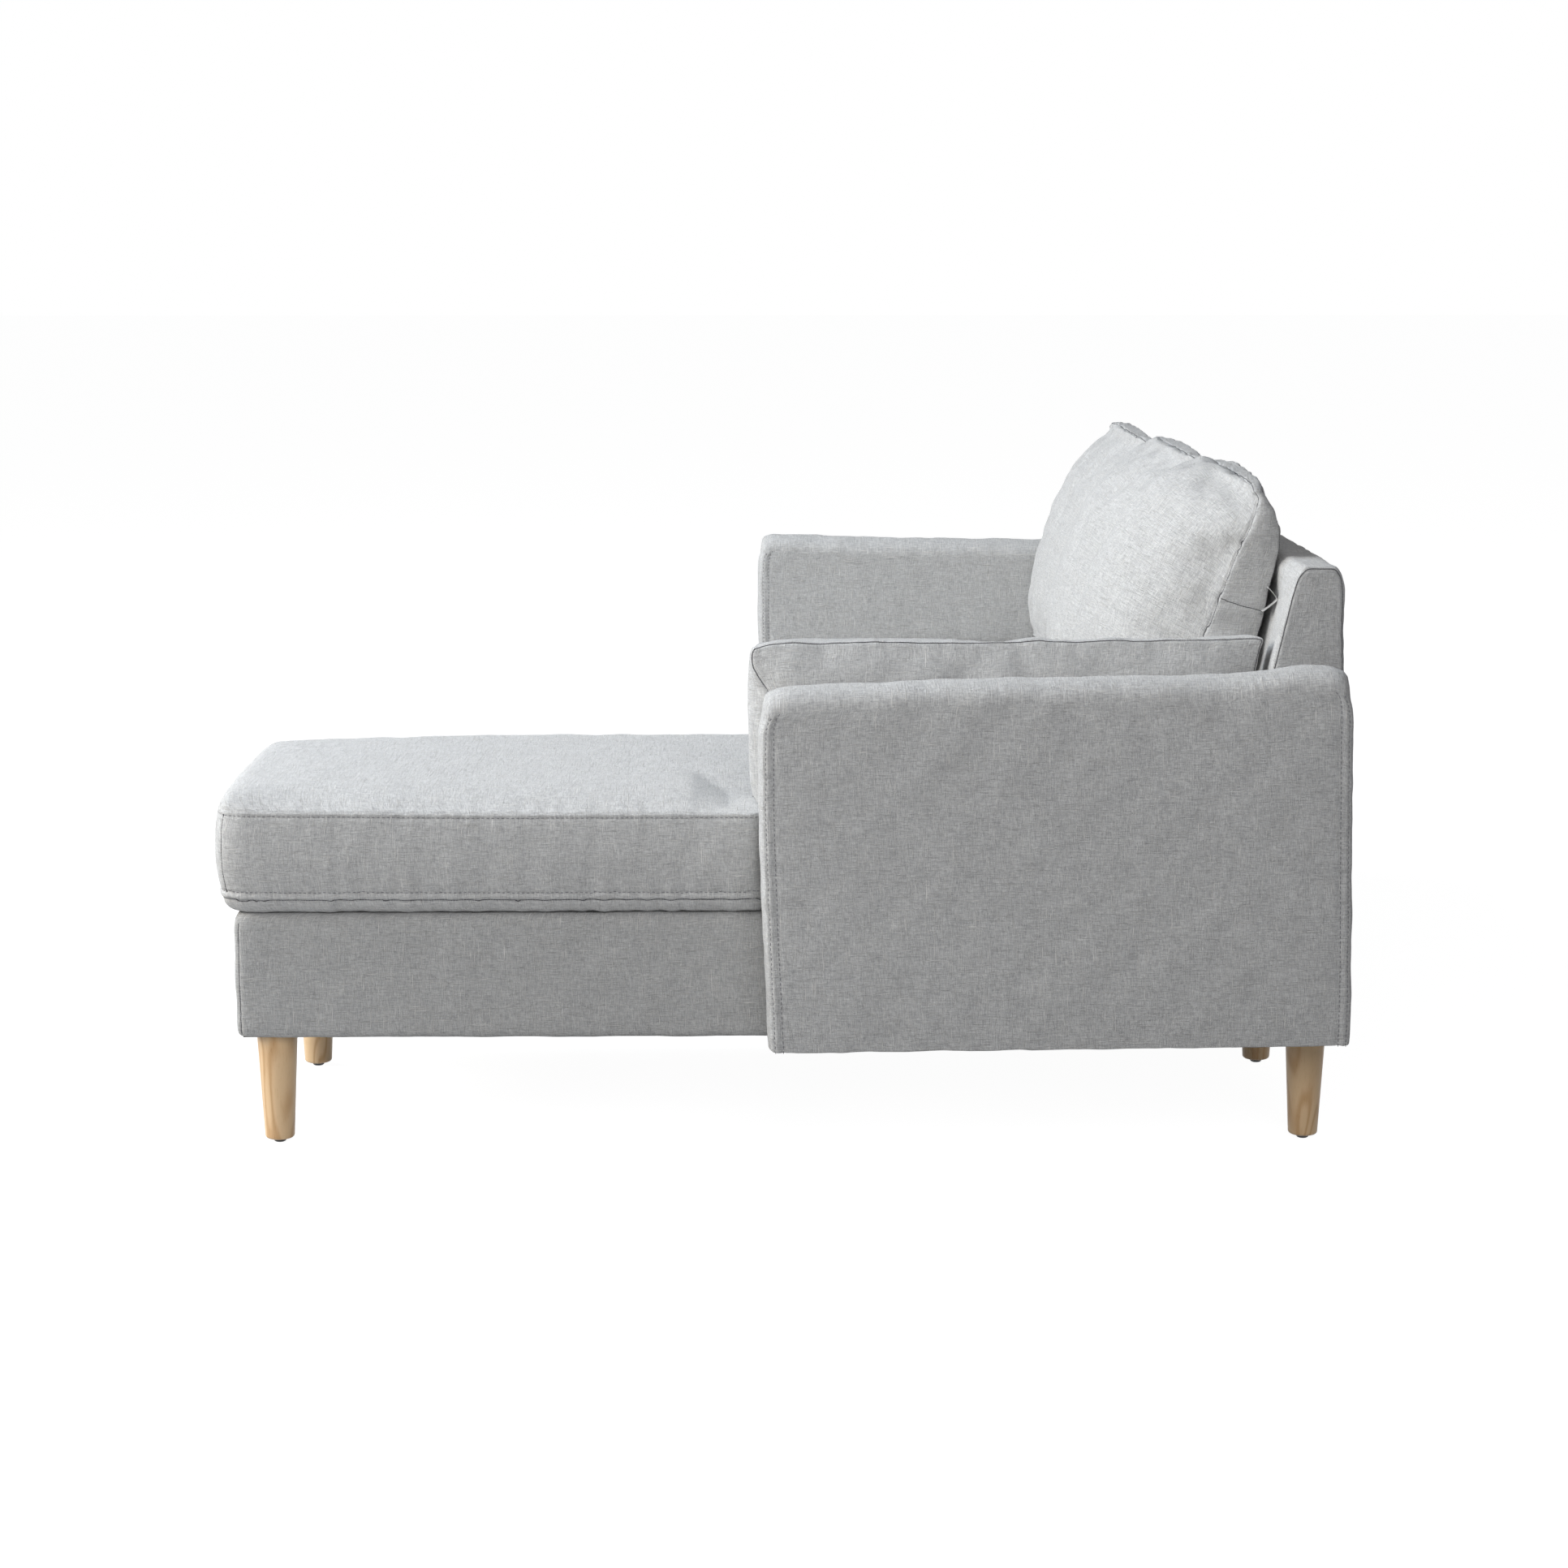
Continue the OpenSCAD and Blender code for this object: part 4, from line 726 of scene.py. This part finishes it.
def arm_cover(name, body, side, lift, front):
    """lift: how much the top stands up at the front and at the rear. front: how far its front is set back."""
    half_y, half_z = 379.0 - front / 2, 231.0
    # Distance from the inner face, how far the band stands out, and the outer face's fullness
    rows = [(t * ARM_WIDTH, (1 - abs(2 * t - 1) ** 2.3) ** 0.5, 4.0 * (t == 1))
            for t in (0, 0.02, 0.05, 0.1, 0.17, 0.27, 0.38, 0.5, 0.62, 0.73, 0.83, 0.9, 0.95, 0.98, 1)]

    def place(u, v, row):
        out, full, crown = row
        along, up = (u + 1) / 2, (v + 1) / 2
        # The front edge draws back towards the floor, and the rear edge towards the top
        front_y = -25.0 + front + 13 * (1 - clamp01(up / 0.75)) ** 1.3
        y = mix(front_y, ARM_REAR_Y - 8 * clamp01((up - 0.2) / 0.7), along)
        swing = lift[0] + (lift[1] - lift[0]) * (1 - (1 - along) ** 2.8)
        rise = (swing + 13 * (1 - ramp(y, 570, 688))) * clamp01(v) ** 2
        z = mix(UNDER_Z + 7 * along, ARM_TOP + rise, up) + 29 * full * (rim(v) > 0)
        z = z - corner(u, 24, half_y) * clamp01(v)
        y = y + 9 * full * rim(u) - u * corner(clamp01(v), 24, half_z)
        dome = shoulder((1 - np.abs(u)) * half_y, 120) * shoulder((1 - np.abs(v)) * half_z, 120)
        return np.stack([side * (ARM_X + out + crown * dome), y, z], axis=1)

    def limits(p):
        p[:, 0] = side * np.maximum(side * p[:, 0], ARM_X)
        hold(p, 2, UNDER_Z)

    cover = Cover((half_y, half_z), 11.0, rows, place)
    seams = []
    for face in (cover.high, cover.low):
        for end, way in ((0, 1), (-1, -1)):
            # Two rows of stitches, 8 mm apart, with a slightly raised lap between them
            first, lap, second = (face[end + way * k] for k in (0, 1, 3))
            seams += [stitched(first, closed=False, depth=1.3, width=1.8, pucker=0.25, reach=14, wave=30),
                      Seam(lap, closed=False, depth=0.0, ridge=0.5),
                      stitched(second, closed=False, depth=1.0, width=1.8)]
    dress(name, cover, body, (name + "_cover",), seams, uneven=0.45, limits=limits)


arm_cover("right_arm", "chaise_section", 1, (0.0, 15.0), 0.0)
arm_cover("left_arm", "two_seat_section", -1, (19.0, 7.0), 10.0)

# %% [markdown]
# ## The seat cushions
# Three boxed foam cushions lie on the deck. Each has a crowned top with a single stitched seam, an upright band
# that bulges a little, and a raised strip low down, where the band meets a narrow border that curves under. The
# chaise cushion widens into an ear in front of the arm.

# %% Seat cushions
CROWN, SEAT_HIGH, SEAT_REAR_Y = 20.0, 138.0, 577.0
# Where the back cushions and the bolster stand on the seat, it is flat behind these lines
PILLOW_Y, BOLSTER_X, BOLSTER_Y = 402.0, 784.0, -76.0
# The border curves under over this height and draws in by this much
BORDER, BORDER_IN = 26.0, 16.0
EAR_Y = -36.0
SEAT_HEIGHTS = (0, 2.5, 6, 10.5, 15.5, 18.5, 21, 24, 27, 30, 33, 38, 48, 62, 78, 94, 108, 119, 126, 131, 134.5,
                SEAT_HIGH)


def seat_row(h):
    """Height, how far the band stands out there, and the top's crown."""
    out = -BORDER_IN * (1 - math.sqrt(1 - (1 - h / BORDER) ** 2)) if h < BORDER else 6 * (1 - ((h - 82) / 56) ** 2)
    return h, out, CROWN * (h == SEAT_HIGH)


def seat_cushion(seat, x0, x1, y0, ear=0.0, sag=0.0, creases=()):
    """ear: extra width in front of the arm. sag: how much lower the far end of the top lies."""
    name, body, y1 = seat + "_seat_pad", seat + "_seat_cushion", SEAT_REAR_Y
    a, b, cx, cy = (x1 - x0) / 2 - 6, (y1 - y0) / 2 - 6, (x0 + x1) / 2, (y0 + y1) / 2

    def place(u, v, row):
        height, out, crown = row
        y = cy + v * (b + out - corner(u, 42, a))
        if ear:
            y = y - 10 * clamp01(-v) ** 6 * (1 - u * u)
        widen = ear * ramp(y, EAR_Y - 0.5, EAR_Y + 12.5) * np.where(u > 0, u, 0) ** 6
        x = cx + u * (a + out - corner(v, 42, b)) + widen
        height = height * (1 - sag / SEAT_HIGH * clamp01((x0 + 260 - x) / 260))
        free = ramp(y, PILLOW_Y - 90, PILLOW_Y)
        if ear:
            free = free * np.maximum(ramp(x, BOLSTER_X - 90, BOLSTER_X), ramp(y, BOLSTER_Y - 49.5, BOLSTER_Y + 0.5))
        # The chaise is fullest just behind its front edge
        nose = ramp(y, -740, -400) if ear else np.zeros_like(y)
        reach = np.where(u < 0, 100 + 16 * sag + 120 * nose, 100 - 55 * ramp(y, -745, -650) * nose)
        sideways, endways = shoulder((1 - np.abs(u)) * a, reach), shoulder((1 - np.abs(v)) * b, 110 - 80 * nose)
        dome = mix(sideways * endways, np.minimum(sideways, endways), nose) * free * (1 + 0.1 * nose)
        # The top edge stands a little higher at the nose, and sinks towards its far corner
        far_corner = bell((x - x0) / 130) * bell((y - y0) / 170) * (ear > 0)
        height = height * (1 + 0.025 * nose - 0.07 * far_corner)
        return np.stack([x, y, SEAT_Z + height + crown * dome], axis=1)

    def limits(p):
        hold(p, 2, SEAT_Z)
        hold(p, 0, x0, np.where((p[:, 1] < EAR_Y) & (ear > 0), np.inf, x1))
        hold(p, 1, high=y1)
        carries = (p[:, 1] > PILLOW_Y) | (p[:, 0] > BOLSTER_X) & (p[:, 1] > BOLSTER_Y) & (ear > 0)
        hold(p, 2, high=np.where(carries & (p[:, 2] > SEAT_Z + 100), SEAM_Z, np.inf))

    cover = Cover((a, b), 11.0, [seat_row(h) for h in SEAT_HEIGHTS], place)
    top, strip = cover.rings[-1], cover.rings[7]
    # The top is lapped over the band: a fold, and 5 mm below it a row of stitches.
    # Low down a folded strip, 8 mm wide, stands out between two seams.
    seams = [Seam(top, depth=0.9, width=1.8, pucker=0.5, reach=20, wave=26),
             Seam(cover.rings[-2], depth=-0.5, width=1.5),
             stitched(cover.rings[-3], depth=1.2, width=1.5),
             Seam(strip, depth=0.0, ridge=1.9, pucker=0.8, reach=26, wave=30),
             joint(cover.rings[5], depth=2.4, width=1.7),
             stitched(cover.rings[9], depth=1.5, width=1.4)]
    ring = cover.points[cover.rings[12]][:, :2]
    for sx in (-1, 1):
        # The front panel of the band is joined to the side panels just round the corner
        at = np.argmin(norms(ring - [cx + sx * (a + 6), y0 + 13]))
        ids = np.array([r[at] for r in cover.rings[9:-2]])
        seams.append(joint(ids, closed=False, depth=1.1, width=1.5, pucker=0.3))
    moved = stuff(name, cover, [top, strip], gather=0.035, cap=9.0, share=0.12, form_share=0.0)
    dress(name, cover, body, (body,), seams, uneven=0.25, moved=moved, creases=creases, limits=limits)


# Upright folds along the chaise's near side: how far forward each stands, and how high
CHAISE_FOLDS = ((650, 44), (590, 62), (505, 48), (430, 70), (340, 50), (255, 66), (170, 44), (90, 58))
seat_cushion("chaise", CHAISE_X, 908.5, -760.5, ear=12.0,
             creases=[((912, -y - 8, 362), (910, -y, 362 + high), 7, 1.3) for y, high in CHAISE_FOLDS])
seat_cushion("middle", -302.75, TWO_SEAT_X, -34.0)
seat_cushion("left", -908.5, -304.25, -34.0, sag=9.0)

# %% [markdown]
# ## The back cushions
# Filled with loose fibre, they are full at the front, thin at the top and creased where the side band is
# gathered. Each one leans on the backrest, and rolls over its top edge.

# %% Back cushions
BAND_DEPTHS = (0, 0.02, 0.06, 0.13, 0.23, 0.35, 0.48, 0.61, 0.73, 0.83, 0.91, 0.96, 0.985, 1)


def back_cushion(seat, x0, x1, tall, filling):
    """filling: how far the middle of the front stands out."""
    name, body = seat + "_back_pad", seat + "_back_cushion"
    a, cx = (x1 - x0) / 2 - 6, (x0 + x1) / 2
    rows = [(d, (4 * d * (1 - d)) ** 0.6, filling * (d == 1)) for d in BAND_DEPTHS]

    def place(u, v, row):
        depth, out, full = row
        t = (v + 1) / 2
        side = u * (a - corner(clamp01(v), 50, tall / 2) - 7 * (1 - v * v) + 6 * out * np.abs(rim(u)))
        top = PILLOW_Z + tall + 10 * (1 - u * u) - corner(u, 30, a)
        z = mix(PILLOW_Z, top, t)
        # It leans on the backrest, and its own top rolls forward
        rear = back_front_y(z) - 0.75 - 0.0052 * np.maximum(z - (top - 92), 0) ** 2
        # The side band is widest at the foot and narrows to nothing at the top
        front = np.minimum(495 + 0.37 * (z - PILLOW_Z), rear - 12 - 14 * (1 - u * u))
        puff = full * clamp01(1 - np.abs(u) ** 1.82) ** 0.84 * clamp01(1 - np.abs(v) ** 1.8) ** 0.57
        y = mix(rear, front, depth) - 0.936 * puff
        return np.stack([cx + side, y, z + (0.45 + 0.25 * t ** 4) * np.sqrt(t) * puff], axis=1)

    def limits(p):
        hold(p, 0, x0, x1)
        hold(p, 2, PILLOW_Z)
        hold(p, 1, high=np.where(p[:, 2] < BACK_TOP, back_front_y(p[:, 2]) - 0.75, np.inf))

    cover = Cover((a, tall / 2), 11.0, rows, place, edge=(1.5, 3.5, 6.5, 11.0, 18.0))
    front_seam, back_seam = cover.rings[-1], cover.rings[0]
    seams = [joint(front_seam, depth=1.8, width=2.2, pucker=0.7, reach=24, wave=26),
             joint(back_seam, depth=1.4, width=2.2, pucker=0.8, reach=20, wave=28)]
    for sx in (-1, 1):
        # The side band is pieced half-way up, with a seam that falls a little towards the rear
        along = np.linspace(0, 1, 12)
        path = np.stack([np.full(12, cx + sx * (a + 2)), mix(596, 653, along), mix(732, 714, along)], axis=1)
        seams.append(joint(path, closed=False, depth=1.2, width=2.6, pucker=0.3))
    moved = stuff(name, cover, [front_seam, back_seam], gather=0.07, cap=14.0, share=0.6)
    # Where the band narrows at the top, there is no room for folds in it
    calm = np.ones((len(cover.points), 1))
    for ring in cover.rings:
        calm[ring, 0] = ramp(cover.points[ring][:, 2], PILLOW_Z + tall - 110, PILLOW_Z + tall - 30)
    moved = moved * (0.1 + 0.9 * cover.spread(calm, 6))
    # Soft wrinkles run over the crest, along the top seam
    rng = np.random.default_rng(round(tall))
    creases = []
    for v in np.linspace(0.80, 0.97, 9):
        u = rng.uniform(-0.85, 0.75)
        row = np.argmin(np.abs(cover.vs - v))
        ends = [cover.points[cover.high[np.argmin(np.abs(cover.us - u - reach)), row]]
                for reach in (0, rng.uniform(0.16, 0.3))]
        creases.append((*ends, rng.uniform(4, 6), rng.uniform(1.4, 2.4)))
    dress(name, cover, body, (body,), seams, uneven=0.9, moved=moved, creases=creases, limits=limits)


back_cushion("right", CHAISE_X, 788.2, tall=422.0, filling=143.0)
back_cushion("middle", -302.75, TWO_SEAT_X, tall=416.0, filling=114.0)
back_cushion("left", -908.5, -304.25, tall=404.0, filling=76.5)

# %% [markdown]
# ## The bolster
# A flat boxed cushion stands on edge between the chaise seat and the arm. Its cover is loose: the front end is
# creased, and low down the outer seam lies further back than that end.

# %% Bolster
def bolster_cushion():
    half_x, cx, half_z, swell = 42.0, 849.7, 116.0, 6.0
    half_y = (back_front_y(PILLOW_Z) + 48) / 2
    rows = [(x, (1 - (x / half_x) ** 2) ** 0.6, 18.0 * np.sign(x) * (abs(x) == half_x))
            for x in (-half_x, -41, -38, -33, -25, -14, 0, 14, 25, 33, 38, 41, half_x)]

    def place(u, v, row):
        row_x, out, crown = row
        edge, t = out * swell, (v + 1) / 2
        low = 6 * ((1 - u) / 2) ** 5 + 0.6 * np.where(u < 0, corner(u, 44, half_y), corner(u, 16, half_y))
        # The top slopes down to the seat side
        z = PILLOW_Z + t * (228 - low - 0.12 * (half_x - row_x)) + 0.5 * edge * (rim(v) > 0)
        rear = back_front_y(z) - 1.5 - swell
        y = mix(-54 + swell, rear - 8, (u + 1) / 2) - np.where(u < 0, u * 0.6 * corner(v, 34, half_z), 0)
        y = y + edge * rim(u) * np.where(u < 0, clamp01(4 * t), 1)
        # Low down the outer seam lies further back than the front end
        y = y + (row_x > 0) * (row_x / half_x) ** 2 * 26 * clamp01(-u) ** 8 * ramp(z, 615, 655)
        dome = shoulder((1 - np.abs(u)) * half_y, 90) * shoulder((1 - np.abs(v)) * half_z, 80)
        # Above the arm its outer side leans in
        lean = 9 * clamp01((z - 600) / 90) ** 2 * (row_x + half_x) / (2 * half_x)
        return np.stack([cx + row_x + crown * dome - lean, y, z], axis=1)

    def limits(p):
        hold(p, 0, 788.8, 909.7)
        hold(p, 2, PILLOW_Z)
        hold(p, 1, high=back_front_y(p[:, 2]) - 1.0)

    cover = Cover((half_y, half_z), 11.0, rows, place)
    outer, inner = cover.rings[-1], cover.rings[0]
    seams = [joint(outer, depth=2.0, width=2.2, pucker=0.5, reach=20, wave=34),
             joint(inner, depth=1.8, width=2.2, pucker=0.5, reach=20, wave=36)]
    moved = stuff("bolster_pad", cover, [outer, inner], gather=0.06, cap=10.0, share=0.22)
    folds = [((895, -60, z), (850, -52, z + 6), 5, 1.6) for z in range(480, 636, 26)]
    dress("bolster_pad", cover, "bolster_cushion", ("bolster_cushion",), seams, uneven=0.5, moved=moved,
          creases=folds, limits=limits)


bolster_cushion()

# %% [markdown]
# ## The tabs
# A short ribbon is folded into a loop and caught in the rear seam of each back cushion, to hold the cover while
# its zip is closed. It stands out behind the cushion's side, one end a little higher than the other.

# %% Ribbon tabs
RIBBON_LENGTH, RIBBON_HALF_WIDTH, RIBBON_HALF_THICK = 46.0, 6.0, 0.7


def ribbon_tab(name, body, node):
    """A flat ribbon along a loop that starts and ends in the seam."""
    low, high = (np.array(c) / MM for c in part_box(node))
    middle, top, foot = (low[0] + high[0]) / 2, high[2], low[2]
    rows = [(-RIBBON_HALF_THICK, 0.0), (-0.4, 0.45), (0.4, 0.45), (RIBBON_HALF_THICK, 0.0)]

    def place(u, v, row):
        out, edge = row
        turn = math.pi * (u + 1) / 2
        # The loop in Y and Z: out from the seam, round, and back to it higher up
        stands = 17 * np.sin(turn) ** 0.8 + out * np.sin(turn)
        z = mix(foot + 3, top - 1, turn / math.pi) + out * np.cos(turn) + 3 * np.sin(2 * turn)
        side = middle - 2 + v * RIBBON_HALF_WIDTH + edge * rim(v)
        return np.stack([side, back_front_y(z) + np.minimum(stands - 9, 7.5), z], axis=1)

    cover = Cover((RIBBON_LENGTH / 2, RIBBON_HALF_WIDTH), 1.6, rows, place, edge=(0.4, 1.0, 2.0))
    dress(name, cover, body, (node,), [], uneven=0.1)


for cushion in ("right", "middle", "left"):
    ribbon_tab(cushion + "_ribbon", cushion + "_back_cushion", cushion + "_cushion_tab")

# %% [markdown]
# ## The stitches
# Thousands of short threads follow the seams. Geometry Nodes are made for this: a tree walks along each seam
# line and sets one small thread at every step, turned along the line and laid on the cloth.

# %% Stitch tree
THREAD_LENGTH, THREAD_RADIUS, THREAD_SIDES = 0.0043, 0.00055, 6
# Along the thread, how thick and how high it is: it dips into the cloth at both ends
THREAD_STAGES = [(-0.5, 0.25, -0.9), (-0.36, 0.95, 0.0), (0.0, 1.0, 0.35), (0.36, 0.95, 0.0), (0.5, 0.25, -0.9)]
# Metres from one thread to the next, and the thread. Joint threads touch, and make one dark line of painted shade
SEWING = {"stitches": (0.0066, stitch_thread), "joints": (0.0036, seam_shade_thread)}


def thread_mesh():
    n, points, faces = THREAD_SIDES, [], []
    for stage, (along, thick, lift) in enumerate(THREAD_STAGES):
        for k in range(n):
            angle = k * 2 * math.pi / n
            points.append((along * THREAD_LENGTH, thick * THREAD_RADIUS * math.cos(angle),
                           THREAD_RADIUS * (thick * math.sin(angle) + lift)))
            if stage:
                here, there, m = (stage - 1) * n, stage * n, (k + 1) % n
                faces.append((here + k, there + k, there + m, here + m))
    faces += [tuple(range(n)), tuple(range(len(points) - 1, len(points) - n - 1, -1))]
    mesh = bpy.data.meshes.new("stitch")
    mesh.from_pydata(points, [], faces)
    mesh.update()
    return bpy.data.objects.new("stitch", mesh)


def stitch_tree():
    tree = bpy.data.node_groups.new("stitch_seams", "GeometryNodeTree")
    for name, kind in (("Seams", "Geometry"), ("Stitch", "Object"), ("Pitch", "Float"), ("Thread", "Material")):
        tree.interface.new_socket(name, in_out="INPUT", socket_type="NodeSocket" + kind)
    tree.interface.new_socket("Stitches", in_out="OUTPUT", socket_type="NodeSocketGeometry")

    def step(kind, inputs=None, out=0, **settings):
        return add(tree, kind, inputs, **settings).outputs[out]

    given = add(tree, "NodeGroupInput").outputs
    curve = step("GeometryNodeMeshToCurve", {"Mesh": given["Seams"]})
    steps = step("GeometryNodeResampleCurve", {"Curve": curve, "Length": given["Pitch"]}, mode="LENGTH")
    upward = step("GeometryNodeInputNamedAttribute", {"Name": "upward"}, "Attribute", data_type="FLOAT_VECTOR")
    along = step("FunctionNodeAlignRotationToVector", {"Vector": step("GeometryNodeInputTangent")}, axis="X")
    laid = step("FunctionNodeAlignRotationToVector", {"Rotation": along, "Vector": upward}, axis="Z", pivot_axis="X")
    stitch = step("GeometryNodeObjectInfo", {"Object": given["Stitch"]}, "Geometry")
    placed = step("GeometryNodeInstanceOnPoints", {"Points": steps, "Instance": stitch, "Rotation": laid})
    real = step("GeometryNodeRealizeInstances", {"Geometry": placed})
    done = step("GeometryNodeSetMaterial", {"Geometry": real, "Material": given["Thread"]})
    add(tree, "NodeGroupOutput", {"Stitches": done})
    return tree


def sew_stitches(name, body, lines, tree, stitch, pitch, finish):
    points, normals, edges = [], [], []
    for line, normal in lines:
        first = len(points)
        points += (line * MM).tolist()
        normals += normal.tolist()
        edges += [(first + i, first + i + 1) for i in range(len(line) - 1)]
    mesh = bpy.data.meshes.new(name)
    mesh.from_pydata(points, edges, [])
    mesh.attributes.new("upward", "FLOAT_VECTOR", "POINT").data.foreach_set("vector", np.array(normals).ravel())
    path = new_object(name + "_path", mesh)
    modifier = path.modifiers.new("stitches", "NODES")
    modifier.node_group = tree
    sockets = {item.name: item.identifier for item in tree.interface.items_tree if item.in_out == "INPUT"}
    for socket, value in (("Stitch", stitch), ("Pitch", pitch), ("Thread", finish)):
        modifier[sockets[socket]] = value
    made = new_object(name, evaluated_mesh(path))
    bpy.data.objects.remove(path)
    if not made.data.materials:
        made.data.materials.append(finish)
    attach(made, body)
    print(name, len(made.data.polygons), "faces")


seam_tree, one_stitch = stitch_tree(), thread_mesh()
for (seam_body, kind), body_lines in stitch_lines.items():
    sew_stitches(seam_body + "_" + kind, seam_body, body_lines, seam_tree, one_stitch, *SEWING[kind])

# %% [markdown]
# ## Floor and light
# The photograph is a cut-out on white. Here a pale floor keeps a soft shadow, but is lifted almost to white for
# the camera. The light is a studio's: a large cool lamp overhead makes the tops pale, a warmer one further in
# front lights the back cushions, one above the camera the side panels, and a small low one at the camera's left
# the chaise's near corner.

# %% Floor, world and lamps
def seen_directly(tree):
    """1 for what the camera sees, also by way of a reflection or through glass."""
    path = add(tree, "ShaderNodeLightPath").outputs
    either = maths(tree, "MAXIMUM", path["Is Camera Ray"], path["Is Glossy Ray"])
    return maths(tree, "MAXIMUM", either, path["Is Transmission Ray"])


floor_finish, tree = new_material("floor_pale_matt_paint")
tone = stretch(tree, noise(tree, 40.0), 0.0, 1.0, 0.38, 0.40)
matt = add(tree, "ShaderNodeBsdfDiffuse", {"Color": tone}).outputs[0]
glow = add(tree, "ShaderNodeEmission", {"Strength": 1.93}).outputs[0]
lift = maths(tree, "MULTIPLY", seen_directly(tree), 0.5)
lifted = add(tree, "ShaderNodeMixShader", {"Fac": lift, 1: matt, 2: glow}).outputs[0]
add(tree, "ShaderNodeOutputMaterial", {"Surface": lifted})

FLOOR_HALF = 40
floor_mesh = bpy.data.meshes.new("floor")
floor_mesh.from_pydata([(x * FLOOR_HALF, y * FLOOR_HALF, 0) for x, y in ((-1, -1), (1, -1), (1, 1), (-1, 1))], [],
                       [(0, 1, 2, 3)])
floor_mesh.materials.append(floor_finish)
floor = new_object("floor", floor_mesh)

world = bpy.data.worlds.new("studio")
world.use_nodes = True
tree = world.node_tree
tree.nodes.clear()
bpy.context.scene.world = world
sky = add(tree, "ShaderNodeBackground", {"Color": linear("#fbfcff"), "Strength": 0.12}).outputs[0]
white = add(tree, "ShaderNodeBackground", {"Color": (1, 1, 1, 1), "Strength": 1.0}).outputs[0]
both = add(tree, "ShaderNodeMixShader", {"Fac": seen_directly(tree), 1: sky, 2: white}).outputs[0]
add(tree, "ShaderNodeOutputWorld", {"Surface": both})


def softbox(name, at, target, size, watts, colour):
    lamp = bpy.data.lights.new(name, "AREA")
    lamp.shape, lamp.size, lamp.size_y = "RECTANGLE", size[0], size[1]
    lamp.energy, lamp.color = watts, linear(colour)[:3]
    aim(new_object(name, lamp), at, Vector(target) - Vector(at))


softbox("overhead_softbox", (0.0, -2.6, 3.4), (0.2, 0.0, 0.4), (3.4, 2.2), 172, "#e9f3ff")
softbox("front_softbox", (0.9, -5.6, 3.2), (0.3, 0.0, 0.5), (3.0, 2.4), 246, "#fff8ec")
softbox("camera_side_softbox", (4.6, 0.6, 2.5), (0.6, 0.0, 0.5), (2.6, 2.0), 56, "#fdfdff")
softbox("camera_left_softbox", (3.2, -3.0, 1.3), (0.9, -0.7, 0.4), (1.2, 1.2), 26, "#fdfdff")
bpy.context.scene.view_settings.view_transform = "Standard"
